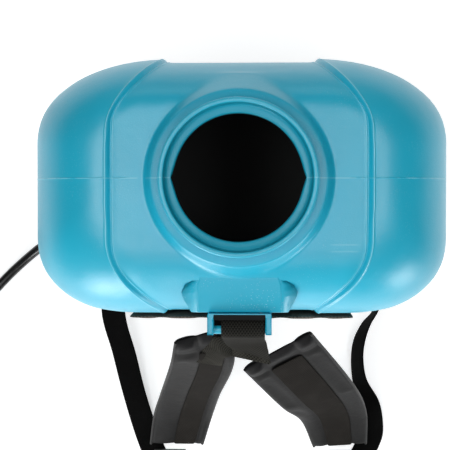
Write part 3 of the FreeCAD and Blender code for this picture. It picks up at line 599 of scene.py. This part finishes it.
# %% The net of the tank
MOUTH_U, MOUTH_W = 0.45, 0.75
half_columns = [0, 0.075, 0.15, 0.225, 0.3, 0.375, MOUTH_U, 0.48, 0.5, 0.51, 0.52, 0.53, 0.54, 0.552,
                0.568, 0.58, 0.592, 0.602, 0.611, 0.62, 0.64, 0.68, 0.73, 0.78, 0.83, 0.88, 0.94]
half_rows = [0, 0.008, SEAM_ROWS, 0.045, 0.1, 0.2, 0.3, 0.4, 0.5, 0.6, 0.7, 0.78, 0.86, 0.93]
levels = [0.008, 0.03, 0.17, 0.33, 0.46, 0.5, 0.55, 0.6, 0.65, 0.7, MOUTH_W, 0.8, 0.85, 0.9, 0.94, 0.97, 0.99]


def cut_across(bm, value, axis):
    """Adds edges where the plane at this value of the axis crosses the mesh."""
    place, way = Vector((0, 0, 0)), Vector((0, 0, 0))
    place[axis], way[axis] = value, 1
    everything = bm.verts[:] + bm.edges[:] + bm.faces[:]
    bmesh.ops.bisect_plane(bm, geom=everything, dist=1e-5, plane_co=place, plane_no=way)


bm = bmesh.new()
bmesh.ops.create_cube(bm, size=2)
cuts = [(sign * c, 0) for c in half_columns for sign in (1, -1)]
cuts += [(sign * r, 1) for r in half_rows for sign in (1, -1)]
cuts += [(2 * w - 1, 2) for w in levels]
for value, axis in dict.fromkeys((round(c, 4) + 0.0, a) for c, a in cuts):
    cut_across(bm, value, axis)
mouth = [f for f in bm.faces if abs(f.calc_center_median().x) < MOUTH_U
         and f.calc_center_median().z > 2 * MOUTH_W - 1]
bmesh.ops.delete(bm, geom=mouth, context="FACES")
step_map = bm.loops.layers.uv.new("step")
for face in bm.faces:
    for loop in face.loops:
        loop[step_map].uv = ((abs(loop.vert.co.x) - BAND_END) / (STEP_END - BAND_END), (loop.vert.co.z + 1) / 2)
for vert in bm.verts:
    vert.co = tank_point(vert.co.x, vert.co.y, (vert.co.z + 1) / 2)
print("tank net:", len(bm.faces), "faces, mouth edge:", sum(e.is_boundary for e in bm.edges))

# %% [markdown]
# From the edge of the hole we extrude ring after ring inwards. First they turn from a rectangle to a circle while
# they stay on the body, then they climb the drum, the collar, the neck, the rim, and go down inside to the ledge
# that carries the strainer, and on into the dark of the tank.

# %% Rings of the neck, each a radius and a height
NECK_RISE = [(74.0, 437.1), (71.6, 437.6), (69.4, 438.1), (68.2, 438.6), (67.2, 439.7), (66.9, 442), (66.9, 456.5),
             (67.2, 457.6), (68.3, 458.2), (68.5, 459), (68.5, 460.3), (68.1, 461.3), (67.3, 461.85), (66.0, 462.0),
             (64.7, 461.75), (64.0, 461.2), (63.5, 460.2), (63.4, 454.0), (62.9, 451.9), (61.6, 450.8),
             (59.6, 450.2), (57.2, 449.9)]
RIM_RING = 15
# Material slots: the outside teal, the near-black painted shade inside the tank, and the darker teal painted as
# shade inside the neck.
OUTSIDE, SHADE_BLACK, SHADED_INSIDE = 0, 1, 2
CIRCLE_R = 92
BODY_SHARES = (0.2, 0.45, 0.7, 0.88, 1.0)
DRUM_RADII = (90.0, 88.2, 86.6, 85.4, 84.4, 83.4, 82.2, 80.8, 79.6, 78.7, 78.0, 77.4, 76.8, 76.0)
LEDGE_RINGS = ((56.1, 449.6), (55.3, 448.9), (55.0, 447.4))
THROAT_RINGS = ((55.2, 440), (55.8, 424))
BAG_RINGS = ((66, 60, 419), (100, 66, 412), (150, 90, 370), (165, 98, 300), (165, 96, 160), (150, 84, 142),
             (75, 42, 139))
CUSP = 3.0


def ring_angle(vert):
    return math.atan2(vert.co.y - PARTING_Y, vert.co.x)


def next_ring(bm, edges, place, material=OUTSIDE):
    grown = bmesh.ops.extrude_edge_only(bm, edges=edges)["geom"]
    for vert in [g for g in grown if isinstance(g, bmesh.types.BMVert)]:
        vert.co = place(vert)
    for face in [g for g in grown if isinstance(g, bmesh.types.BMFace)]:
        face.material_index = material
    return [g for g in grown if isinstance(g, bmesh.types.BMEdge) and g.is_boundary]


def skin_point(vert, radius):
    """The point of the tank's skin at this distance from the neck's middle, on the same side as vert."""
    angle = ring_angle(vert)
    y = PARTING_Y + radius * math.sin(angle)
    return Vector((radius * math.cos(angle), y, soft_max(band_height(y), drum_height(radius), 1.0)))


def on_body(share):
    def place(vert):
        reach = math.hypot(vert.co.x, vert.co.y - PARTING_Y)
        return skin_point(vert, mix(reach, CIRCLE_R, share))
    return place


def on_drum(radius):
    def place(vert):
        return skin_point(vert, radius)
    return place


def on_circle(radius, height, cusp=0.0):
    def place(vert):
        angle = ring_angle(vert)
        reach = radius + cusp * math.exp(-abs(math.sin(angle)) * 9)
        return Vector((reach * math.cos(angle), PARTING_Y + reach * math.sin(angle), height))
    return place


def in_bag(half_x, half_y, height):
    """A ring of the dark inner bag, a rounded oblong."""
    def place(vert):
        angle = ring_angle(vert)
        c, s = abs(math.cos(angle)) / half_x, abs(math.sin(angle)) / half_y
        reach = (c ** 4 + s ** 4) ** -0.25
        return Vector((reach * math.cos(angle), PARTING_Y + reach * math.sin(angle), height))
    return place


edges = [e for e in bm.edges if e.is_boundary]
for share in BODY_SHARES:
    edges = next_ring(bm, edges, on_body(share))
for radius in DRUM_RADII:
    edges = next_ring(bm, edges, on_drum(radius))
for i, (radius, height) in enumerate(NECK_RISE):
    edges = next_ring(bm, edges, on_circle(radius, height), SHADED_INSIDE if i > RIM_RING else OUTSIDE)
for rings, material in ((LEDGE_RINGS, SHADED_INSIDE), (THROAT_RINGS, SHADE_BLACK)):
    for radius, height in rings:
        edges = next_ring(bm, edges, on_circle(radius, height, CUSP), material)
for half_x, half_y, height in BAG_RINGS:
    edges = next_ring(bm, edges, in_bag(half_x, half_y, height), SHADE_BLACK)
for face in bmesh.ops.contextual_create(bm, geom=edges)["faces"]:
    face.material_index = SHADE_BLACK
bmesh.ops.recalc_face_normals(bm, faces=bm.faces)
print("open edges left:", sum(e.is_boundary for e in bm.edges))
tank = deliver(bm, "tank_body", [tank_teal, inside_shade_black, neck_inside_shaded])
add_modifier(tank, "SUBSURF", levels=1, render_levels=1)
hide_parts("tank")

# %% [markdown]
# ## Boss and strap bracket
# On the wearer's side the tank swells into a boss, which takes the two screws of the strap bracket. The bracket
# is injection moulded: a plate, two ribbed arms and a bar for the webbing. Both start as boxes whose corners
# are moved, and then every edge is rounded, because a mould can't make a sharp edge.

# %% Helpers for boxes and rounded edges
def add_box(bm, low, high):
    low, high = Vector(low), Vector(high)
    verts = bmesh.ops.create_cube(bm, size=1)["verts"]
    bmesh.ops.scale(bm, vec=high - low, verts=verts)
    bmesh.ops.translate(bm, vec=(high + low) / 2, verts=verts)
    return verts


def round_edges(bm, edges, radius, segments=2):
    bmesh.ops.bevel(bm, geom=edges, offset=radius, segments=segments, profile=0.5, material=-1, affect="EDGES")


def sharp_edges(bm, angle=30):
    return [e for e in bm.edges if len(e.link_faces) == 2 and e.calc_face_angle() > math.radians(angle)]


# %% Boss on the tank
BOSS_PLAN = {-80.0: (34, 419.5, 37.5, 419.2), -83.4: (35, 418.4, 41, 417.2), -87.5: (36.5, 417.0, 48, 415.3),
             -94.0: (37, 415.0, 51.5, 411.6), -98.4: (37, 413.4, 50.5, 410.2), -104.5: (37, 411.0, 47.5, 408.2),
             -112.6: (37, 407.4, 44, 404.2)}
bm = bmesh.new()
add_box(bm, (-1, -112.6, 0), (1, -80, 2))
for value, axis in [(y, 1) for y in list(BOSS_PLAN)[1:-1]] + [(1, 2)]:
    cut_across(bm, value, axis)
for vert in bm.verts:
    top_x, top_z, knee_x, knee_z = BOSS_PLAN[round(vert.co.y, 1)]
    wide, vert.co.z = {2: (top_x, top_z), 1: (knee_x, knee_z), 0: (knee_x + 1.5, 376)}[round(vert.co.z)]
    vert.co.x = math.copysign(wide, vert.co.x)
round_edges(bm, sharp_edges(bm, 14), 0.9, 3)
boss = deliver(bm, "tank_boss", [boss_teal])
add_modifier(boss, "WEIGHTED_NORMAL", weight=90)

# %% Strap bracket
ARM_X, ARM_WIDE = 25.9, 5.6
BAR = Vector((0, -128.5, 400))
bracket_teal = teal_plastic("bracket_teal", 0.2)
bm = bmesh.new()
add_box(bm, (-28, -116.9, 385.5), (28, -113.2, 411.5))
for side in (-1, 1):
    x = side * ARM_X
    arm = add_box(bm, (x - ARM_WIDE / 2, -132.4, 386), (x + ARM_WIDE / 2, -114.5, 411.6))
    flats = [f for f in bm.faces if f.verts[0] in arm
             and (f.normal.z > 0.9 or f.normal.y < -0.9 or f.normal.x * side > 0.9)]
    bmesh.ops.inset_individual(bm, faces=flats, thickness=1.35, depth=-1.1)
round_edges(bm, sharp_edges(bm), 0.35, 2)
bar = bmesh.ops.create_cone(bm, cap_ends=True, segments=24, radius1=3.8, radius2=3.8, depth=2 * ARM_X)["verts"]
bmesh.ops.rotate(bm, verts=bar, cent=(0, 0, 0), matrix=Matrix.Rotation(math.pi / 2, 3, "Y"))
bmesh.ops.translate(bm, verts=bar, vec=BAR)
bracket = deliver(bm, "strap_bracket_moulding", [bracket_teal], smooth=False)
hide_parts("strap_bracket")

# %% Black block in the shaded gap between the plate and the bar
bm = bmesh.new()
add_box(bm, (-23.05, -131, 387), (23.05, -117.1, 389.5))
add_box(bm, (-23.05, -119.0, 389), (23.05, -114.3, 412.2))
round_edges(bm, sharp_edges(bm), 0.5, 2)
# The block is black to stand in for the shade in the gap between the plate and the bar: painted shade.
gap_shade_black = Finish("gap_shade_black", Specular_IOR_Level=0.1)
gap_shade_grain = gap_shade_black.noise(1200, 3)
gap_shade_black = gap_shade_black.feed(Base_Color=gap_shade_black.blend(gap_shade_grain, (0.003,) * 3, (0.007,) * 3),
                               Roughness=0.45 + 0.2 * gap_shade_grain)
gap_shade_block = deliver(bm, "bracket_gap_shade", [gap_shade_black], smooth=False)

# %% [markdown]
# ## Woven straps
# Webbing is a thick ribbon. Its weave must follow the ribbon round every bend, so each ribbon carries a map of
# its own, measured in metres across and along, and the weave is two crossing waves on that map. The ribbon itself
# is one long net, cut from a flat box and laid along a few given stations, each a centre and a half width.

# %% Webbing finish
def woven(name, shade, across, along, roughness, depth, fuzz=0.25, crest_shading=0.35):
    finish = Finish(name, Specular_IOR_Level=0.04)
    weave = finish.node("ShaderNodeUVMap", {"uv_map": "weave"})
    u, v = finish.axis(0, weave), finish.axis(1, weave)
    threads = (u * (2 * math.pi / across)).wave() * (v * (2 * math.pi / along)).wave()
    rows = (v * (4 * math.pi / along)).wave()
    fluff = finish.noise(700, 3)
    wear = finish.fade(finish.noise(45, 3), 0.42, 0.72)
    height = 0.5 + 0.38 * threads + 0.12 * rows + 0.2 * fluff
    # Thread crests are painted lighter and the hollows between threads darker: painted light and shade of the weave.
    light = finish.fade(height, 0.1, 1.05)
    colour = finish.blend(light, [c * (0.8 - crest_shading) for c in shade], [c * (1 + 1.4 * crest_shading) for c in shade])
    colour = finish.blend(wear * fuzz, colour, [c * 2.1 + 0.004 for c in shade])
    relief = finish.bump(height, depth, 0.8)
    return finish.feed(Base_Color=colour, Roughness=roughness + 0.1 * fluff, Normal=relief)


yoke_weave = woven("yoke_weave", (0.014, 0.0137, 0.012), 0.0027, 0.0038, 0.75, 0.0006, crest_shading=0.7)
fold_weave = woven("fold_weave", (0.020, 0.0193, 0.0165), 0.0028, 0.0034, 0.8, 0.0005, fuzz=0.5, crest_shading=0.75)
strap_weave = woven("strap_weave", (0.0022, 0.0022, 0.0022), 0.0022, 0.0016, 0.7, 0.00025, fuzz=0.1)
panel_weave = woven("panel_weave", (0.0115, 0.0104, 0.0092), 0.0030, 0.0030, 0.8, 0.0004, crest_shading=0.75)
print(yoke_weave.name, strap_weave.name, panel_weave.name)


# %% A smooth way through the stations
class Way:
    """A smooth curve through stations, each a centre and a half width vector."""

    def __init__(self, stations):
        self.values = [Vector((*centre, *half)) for centre, half in stations]
        self.marks = [0.0]
        for a, b in zip(self.values, self.values[1:]):
            self.marks.append(self.marks[-1] + (Vector(b[:3]) - Vector(a[:3])).length)
        self.length = self.marks[-1]

    def slope(self, i):
        a, b = max(0, i - 1), min(len(self.values) - 1, i + 1)
        return (self.values[b] - self.values[a]) / (self.marks[b] - self.marks[a])

    def at(self, share):
        mark = share * self.length
        i = max(k for k in range(len(self.marks) - 1) if self.marks[k] <= mark + 1e-9)
        span = self.marks[i + 1] - self.marks[i]
        t = (mark - self.marks[i]) / span
        start, end = self.values[i], self.values[i + 1]
        value = (start * (2 * t ** 3 - 3 * t * t + 1) + end * (3 * t * t - 2 * t ** 3)
                 + self.slope(i) * span * (t ** 3 - 2 * t * t + t) + self.slope(i + 1) * span * (t ** 3 - t * t))
        return Vector(value[:3]), Vector(value[3:])

    def frame(self, share):
        centre, half = self.at(share)
        ahead = self.at(min(1.0, share + 0.004))[0] - self.at(max(0.0, share - 0.004))[0]
        normal = ahead.cross(half).normalized()
        return centre, half, normal


# %% Ribbons and pads are both a net on such a way
def strip_net(columns, rows):
    """A flat box from -1 to 1, cut into columns (x) and rows (y), two layers thick."""
    bm = bmesh.new()
    bmesh.ops.create_cube(bm, size=2)
    for value, axis in [(c, 0) for c in columns] + [(r, 1) for r in rows] + [(0, 2)]:
        cut_across(bm, value, axis)
    return bm


def even(count):
    return [2 * i / count - 1 for i in range(1, count)]


def lay_strip(bm, way, thickness, relief=None):
    """Lays the net along the way; relief gives the share of the thickness at (across, along)."""
    layer = bm.loops.layers.uv.new("weave")
    half = Vector(way.values[0][3:]).length
    for face in bm.faces:
        for loop in face.loops:
            co = loop.vert.co
            loop[layer].uv = (co.x * half * MM, (co.y + 1) / 2 * way.length * MM)
    for vert in bm.verts:
        u, share, side = vert.co.x, (vert.co.y + 1) / 2, vert.co.z
        centre, across, normal = way.frame(share)
        height = side * thickness / 2 * (relief(u, share) if relief else 1)
        vert.co = centre + across * u + normal * height
    bmesh.ops.recalc_face_normals(bm, faces=bm.faces)


def thin_edge(u, share):
    """A ribbon's two edges are thinner than its middle."""
    return 0.55 if abs(u) > 0.99 else 1.0


def ribbon(name, stations, thickness, material, rows):
    way = Way(stations)
    bm = strip_net(even(8), even(rows))
    lay_strip(bm, way, thickness, thin_edge)
    piece = deliver(bm, name, [material])
    add_modifier(piece, "SUBSURF", levels=1, render_levels=1)
    print(name, "is", round(way.length), "mm long")
    return piece, way.length


# %% Yoke webbing, round the bar and down
YOKE_WIDE = 39.0
yoke_x = 3.05
half_yoke = (YOKE_WIDE / 2, 0, 0)
wrap = [(yoke_x, BAR.y + 1.2 + 8.0 * math.cos(a), BAR.z + 5.6 * math.sin(a))
        for a in [math.radians(d) for d in (180, 150, 115, 80, 45, 10, -30, -70, -110)]]
yoke_run = [(10.5, -164.5, 309), (8.0, -158.0, 322), (4.6, -147.5, 343), (yoke_x, -140.2, 371),
            (yoke_x, -136.6, 390)] + wrap + [(yoke_x, -133.6, 389), (yoke_x, -137.6, 372)]
yoke_stations = [(place, half_yoke) for place in yoke_run]
yoke_stations[0] = (yoke_run[0], (18.0, -6.5, -3))
yoke_stations[1] = (yoke_run[1], (18.6, -4.5, -2))
yoke, yoke_length = ribbon("yoke_strap", yoke_stations, 1.7, yoke_weave, 64)
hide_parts("yoke_webbing")

# %% Folded end of the yoke webbing, and the end of the left pad's webbing that is caught in it
FOLD = [((-9, -157.0, 320), (0.5, -5.6, -2)), ((2, -158.5, 319), (0.5, -6.6, -3)),
        ((15, -161.0, 317), (0.5, -7.2, -3)), ((26.3, -163.5, 314), (0.8, -7.8, -4))]
CAUGHT = [((-35, -176, 268), (14, -2, 0)), ((-31, -163, 288), (13.5, -5, 3)), ((-22, -155.5, 305), (9, -9.5, 2)),
          ((-12, -154.0, 312), (3, -9, 0)), ((0, -158.5, 312), (2, -7, -1))]
for label, stations, wide in (("fold", FOLD, 14), ("catch", CAUGHT, 28)):
    end, end_length = ribbon(f"yoke_{label}", stations, 1.6, fold_weave, 24)

# %% Lower straps
LOWER_LEFT = [((-150, -108, 44), (14, 0, 0)), ((-157.5, -144, 38), (14, 0, 0)), ((-146, -195, 26), (14, 0, 0)),
              ((-134.5, -247, 14), (14, 0, 0)), ((-119, -300, 3), (15, 0, 0)), ((-100, -345, 3), (15, 4, 0))]
LOWER_RIGHT = [((150, -108, 44), (14, 0, 0)), ((150, -128, 41.5), (8, 0, 11)), ((150, -143, 38), (1.8, 0, 14)),
               ((140.5, -157, 34), (3.8, 0, 13.5)), ((132.5, -177, 30), (5.8, 0, 12.5)),
               ((130, -198, 26), (6.4, 0, 12)), ((133, -224, 20), (8, 0, 11.5)), ((143, -250, 14), (13, 0, 6)),
               ((148, -276, 6), (14, 0, 2)), ((146, -300, 3), (15, 0, 0)), ((122, -345, 3), (15, -4, 0))]
print("lower straps", len(LOWER_LEFT), len(LOWER_RIGHT))
for label, stations in (("left", LOWER_LEFT), ("right", LOWER_RIGHT)):
    strap, strap_length = ribbon(f"lower_strap_{label}_web", stations, 1.9, strap_weave, 60)
    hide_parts(f"lower_strap_{label}")

# %% [markdown]
# ## Shoulder pads
# Each pad is foam in black nylon. A strip of woven webbing is sewn along its middle, so the foam swells beside it
# in two soft rolls, and a cord piping runs round the edge. The cloth is simulated: the pad starts thin, the seam
# rows are held where they are sewn, and pressure inside blows the rolls up, by 5 mm at most.

# %% Pad finishes
def padded_nylon(name, shade, shine):
    finish = Finish(name, Specular_IOR_Level=0.12)
    fine = finish.noise(1600, 2)
    crease = finish.noise(24, 5, 0.6)
    dust = finish.fade(finish.noise(11, 3), 0.45, 0.75)
    # The nylon is painted darker in the hollows of the folds and lighter on their tops: painted shade and light of
    # the folds.
    colour = finish.blend(crease, [c * 0.7 for c in shade], [c * 1.3 for c in shade])
    colour = finish.blend(dust * 0.2, colour, [c * 1.8 for c in shade])
    folds = finish.bump(crease, 0.0035, 0.4)
    threads = finish.bump(fine, 0.00015, 0.5, folds)
    return finish.feed(Base_Color=colour, Roughness=shine + 0.15 * fine, Normal=threads)


pad_nylon = padded_nylon("pad_nylon", (0.0060, 0.0060, 0.0061), 0.52)
piping_nylon = padded_nylon("piping_nylon", (0.018, 0.018, 0.018), 0.38)
hem_tape = padded_nylon("hem_tape", (0.004, 0.004, 0.0045), 0.45)
print(pad_nylon.name, piping_nylon.name, hem_tape.name)


# %% Blowing a pad up
def puff(piece, is_sewn, pressure, cap, frames=20):
    """Runs cloth with pressure, held at the sewn points, and keeps the result in the mesh."""
    start = [v.co.copy() for v in piece.data.vertices]
    sewn = piece.vertex_groups.new(name="sewn")
    sewn.add(is_sewn, 1.0, "REPLACE")
    cloth = add_modifier(piece, "CLOTH")
    cloth.settings.use_pressure = True
    cloth.settings.uniform_pressure_force = pressure
    cloth.settings.vertex_group_mass = "sewn"
    cloth.settings.effector_weights.gravity = 0
    cloth.settings.quality = 5
    cloth.point_cache.frame_start, cloth.point_cache.frame_end = 1, frames
    for frame in range(1, frames + 1):
        bpy.context.scene.frame_set(frame)
    settled = piece.evaluated_get(bpy.context.evaluated_depsgraph_get()).data
    moves = [settled.vertices[i].co - place for i, place in enumerate(start)]
    piece.modifiers.remove(cloth)
    for vert, place, move in zip(piece.data.vertices, start, moves):
        vert.co = place + move * min(1.0, cap / max(move.length, 1e-9))
    bpy.context.scene.frame_set(1)
    reach = max(move.length for move in moves)
    print(piece.name, "swells by", round(min(reach, cap) / MM, 1), "mm at most")


# %% The two shoulder pads
PAD_LEFT = [((-41, -143, 306), (24, 7, 4)), ((-40, -171, 266), (31, 2, 0)), ((-62, -228, 128), (32, 0, 0)),
            ((-74, -262, 62), (33, 0, 0)), ((-84, -302, 20), (31, 0, 0))]
PAD_RIGHT = [((34, -162, 272), (33, 20, 14)), ((78, -222, 160), (37, 14, 6)), ((100, -258, 76), (36, 6, 0)),
             ((110, -302, 20), (31, 2, 0))]
PAD_THICK = 12.0
STRIP_THICK = 1.5
PIPING_R = 1.7
SEAM_WIDE = 0.05
HEM_END = 0.085
PANELS = {"left": (0.28, 0.375), "right": (0.0, 0.43)}


def pad_columns(panel):
    """Columns of a pad: fine across the seams, coarser on the rolls."""
    centre, half = panel
    places = [centre + half * k / 3 for k in (-2, -1, 0, 1, 2)]
    for side in (-1, 1):
        seam, room = centre + side * half, 1 - abs(centre + side * (half + SEAM_WIDE))
        places += [seam, seam + side * SEAM_WIDE]
        places += [seam + side * (SEAM_WIDE + room * k) for k in (0.14, 0.3, 0.46, 0.62, 0.78, 0.92)]
    return places


def pad_relief(panel):
    centre, half = panel

    def relief(u, share):
        """Share of the pad's half thickness, before it is blown up."""
        t = abs(u - centre)
        end = smooth(min(share, 1 - share) / 0.02)
        hem = 0.30 * math.exp(-((share - 0.03) / 0.016) ** 2) - 0.4 * math.exp(-((share - HEM_END) / 0.012) ** 2)
        if abs(u) > 0.99:
            return 0.3
        if half - 0.01 < t < half + SEAM_WIDE + 0.01:
            return 0.40 * end + 0.1
        if t < half:
            return (0.52 + hem) * (0.3 + 0.7 * end)
        room = 1 - abs(centre + math.copysign(half + SEAM_WIDE, u - centre))
        crest = math.sin(math.pi * min(1.0, (t - half - SEAM_WIDE) / room)) ** 0.7
        return (0.55 + 0.35 * crest + hem) * (0.3 + 0.7 * end)
    return relief


def shoulder_pad(label, stations):
    way, panel = Way(stations), PANELS[label]
    centre, half = panel
    bm = strip_net(pad_columns(panel), even(72))
    held = [v.index for v in bm.verts if abs(v.co.x) > 0.99 or abs(v.co.x - centre) < half + SEAM_WIDE + 0.01
            or abs(v.co.y) > 0.99]
    for face in bm.faces:
        face.material_index = int((face.calc_center_median().y + 1) / 2 < HEM_END - 0.02)
    lay_strip(bm, way, PAD_THICK, pad_relief(panel))
    pad = deliver(bm, f"shoulder_pad_{label[0]}", [pad_nylon, hem_tape])
    puff(pad, held, 4.0, 5 * MM)
    add_modifier(pad, "SUBSURF", levels=1, render_levels=1)
    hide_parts(f"shoulder_pad_{label}")
    return way


pad_ways = {"left": shoulder_pad("left", PAD_LEFT), "right": shoulder_pad("right", PAD_RIGHT)}

# %% [markdown]
# The middle strip is the same webbing that the yoke is made of, thinner and more open. The piping is a cord in a
# folded tape; it is drawn as a thin round curve that follows the pad's edge.

# %% Middle strips and piping
def pad_point(way, u, share, height):
    centre, across, normal = way.frame(share)
    return centre + across * u + normal * height


for label, way in pad_ways.items():
    bm = strip_net(even(6), even(60))
    centre, half = PANELS[label]
    shares = [HEM_END + (0.99 - HEM_END) * k / 16 for k in range(17)]
    frames = [way.frame(share) for share in shares]
    middle_way = Way([(tuple(c + across * centre + normal * 3.6), tuple(across * (half + 0.02)))
                      for c, across, normal in frames])
    lay_strip(bm, middle_way, STRIP_THICK)
    strip = deliver(bm, f"pad_strip_{label}", [panel_weave])
    add_modifier(strip, "SUBSURF", levels=1, render_levels=1)
    2 * Vector(middle_way.values[8][3:]).length * MM
    for side in (-1, 1):
        places = [pad_point(way, side * 0.985, k / 24, 1.5) for k in range(25)]
        which = "outer" if side > 0 else "inner"
        cord = nurbs_tube(f"pad_piping_{label}_{which}", places, PIPING_R, piping_nylon, 3)
print("pads dressed")

# %% [markdown]
# ## Back pad
# Between the wearer's back and the tank hangs a panel of foam under spacer mesh. Seams divide it into channels
# that let air through. It is a net as well, held at the seams and blown up.

# %% Back pad
BACK_THICK = 6.6
back_stations = [((0, -112.6, 160), (98, 0, 0)), ((0, -115.5, 220), (101, 0, 0)), ((0, -119, 285), (103, 0, 0)),
                 ((0, -122.4, 345), (105, 0, 0))]
CHANNELS = (0.357, 0.714)


def back_relief(u, share):
    t = abs(u)
    corner = smooth((1 - t) / 0.10) * smooth(min(share, 1 - share) / 0.06)
    sewn = min(abs(t - c) for c in CHANNELS)
    return (0.25 + 0.65 * corner) * (0.35 + 0.65 * smooth(sewn / 0.07))


mesh_fabric = woven("spacer_mesh", (0.085, 0.070, 0.060), 0.0032, 0.0032, 0.85, 0.0006, fuzz=0.4)
bm = strip_net(even(28), even(40))
held = [v.index for v in bm.verts if abs(v.co.x) > 0.99 or abs(v.co.y) > 0.99
        or min(abs(abs(v.co.x) - c) for c in CHANNELS) < 0.02]
lay_strip(bm, Way(back_stations), BACK_THICK, back_relief)
back_pad = deliver(bm, "back_cushion", [mesh_fabric])
puff(back_pad, held, 3.0, 2 * MM)
add_modifier(back_pad, "SUBSURF", levels=1, render_levels=1)
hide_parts("back_pad")

# %% [markdown]
# ## Moulded plastics, metal and rubber of the working parts
# The base, the controls and the lance come from the engineering model and keep their shape. Each gets a finish of
# its own. Moulded plastic has a fine spark-eroded grain and is paler where hands rub its edges; a bevel pattern
# finds those edges and also rounds them in the light.

# %% Finishes of the working parts
def moulded(name, shade, rough, grain_scale=1300, grain_depth=0.00012, edge=0.0007, worn=0.35):
    finish = Finish(name)
    grain = finish.noise(grain_scale, 2)
    cloud = finish.noise(14, 4)
    rounded = finish.round_edges(edge)
    flat = finish.node("ShaderNodeNewGeometry", out="Normal")
    turned = finish.node("ShaderNodeVectorMath", {"operation": "DOT_PRODUCT"}, {0: rounded, 1: flat}, out="Value")
    rub = finish.fade(1 - turned, 0.01, 0.2) * finish.fade(finish.noise(90, 3), 0.3, 0.6)
    colour = finish.blend(cloud, [c * 0.82 for c in shade], [c * 1.15 for c in shade])
    colour = finish.blend(rub * worn, colour, [min(1.0, c * 1.7 + 0.02) for c in shade])
    dust = finish.fade(finish.noise(33, 5), 0.5, 0.8)
    bump = finish.bump(grain, grain_depth, 0.6, rounded)
    return finish.feed(Base_Color=colour, Roughness=rough + 0.12 * dust + 0.08 * grain, Normal=bump)


def dress(material, *nodes):
    for name in nodes:
        for slot in frame["nodes"][name].material_slots:
            slot.material = material


dress(moulded("base_black", (0.017, 0.017, 0.018), 0.48), "base_housing", "base_cover", "strap_buckles",
      "hose_gland", "gland_nut", "pressure_knob", "charging_socket", "switch_body")
dress(moulded("grip_black", (0.012, 0.012, 0.013), 0.55, 900, 0.0002), "grip_shell_lower", "grip_shell_upper",
      "lance_nut", "hose_nut", "lance_collet", "nozzle_cap", "pressure_switch", "outlet_fitting", "outlet_nut")
dress(moulded("panel_grey", (0.060, 0.063, 0.066), 0.42), "battery_case", "battery_bay", "control_panel",
      "outlet_filter", "pump_head", "speed_control")
dress(moulded("signal_orange", (0.72, 0.135, 0.012), 0.34, 700, 0.00006), "trigger", "trigger_lock",
      "battery_latch", "rocker_switch")
dress(seal_rubber, "socket_flap", "outlet_seal", "pump_diaphragm", "pump_mounts")
dress(rubber("inner_hose", 0.01, 0.3, 500), "suction_hose", "delivery_hose")
print("plastics and rubber on")

# %% [markdown]
# Steel tube is drawn through a die, so its fine lines run along it; turned brass has its lines round the axis.
# A noise that is stretched along one axis gives either.

# %% Metals
def metal(name, shade, rough, stretch):
    finish = Finish(name, Metallic=1.0)
    mapped = finish.node("ShaderNodeMapping", values={0: finish.place(), 3: stretch})
    lines = finish.noise(900, 3, 0.6, mapped)
    stain = finish.fade(finish.noise(60, 4), 0.45, 0.75)
    colour = finish.blend(lines, [c * 0.86 for c in shade], shade)
    colour = finish.blend(stain * 0.25, colour, [c * 0.6 for c in shade])
    bump = finish.bump(lines, 0.00005, 0.4, finish.round_edges(0.0003))
    return finish.feed(Base_Color=colour, Roughness=rough + 0.15 * lines + 0.1 * stain, Normal=bump)


dress(metal("drawn_steel", (0.60, 0.60, 0.61), 0.2, (1, 0.03, 1)), "lance_outer", "lance_inner", "valve_stem",
      "trigger_pin", "motor_can")
dress(metal("screw_zinc", (0.55, 0.56, 0.58), 0.3, (1, 1, 1)), "bracket_screws", "base_screws", "grip_screws")
dress(metal("turned_brass", (0.72, 0.52, 0.22), 0.22, (1, 12, 1)), "nozzle_body", "valve_body", "bay_terminals",
      "motor_bearings", "drive_eccentric")
dress(metal("copper", (0.75, 0.36, 0.22), 0.3, (1, 1, 12)), "motor_rotor")
dress(moulded("cell_blue", (0.02, 0.09, 0.30), 0.3, 400, 0.00003), "battery_cells")
lens = Finish("clear_lens", Roughness=0.08, Transmission_Weight=0.6, IOR=1.49)
haze = lens.noise(120, 3)
dress(lens.feed(Base_Color=lens.blend(haze, (0.55, 0.66, 0.70), (0.70, 0.80, 0.82))), "gauge_lens")
left = [n for n, o in frame["nodes"].items() if not any(s.material and s.material.use_nodes and
        s.material.node_tree.nodes.get("Principled BSDF") and len(s.material.node_tree.nodes) > 6
        for s in o.material_slots)]
print("nodes with no finish of their own:", left)
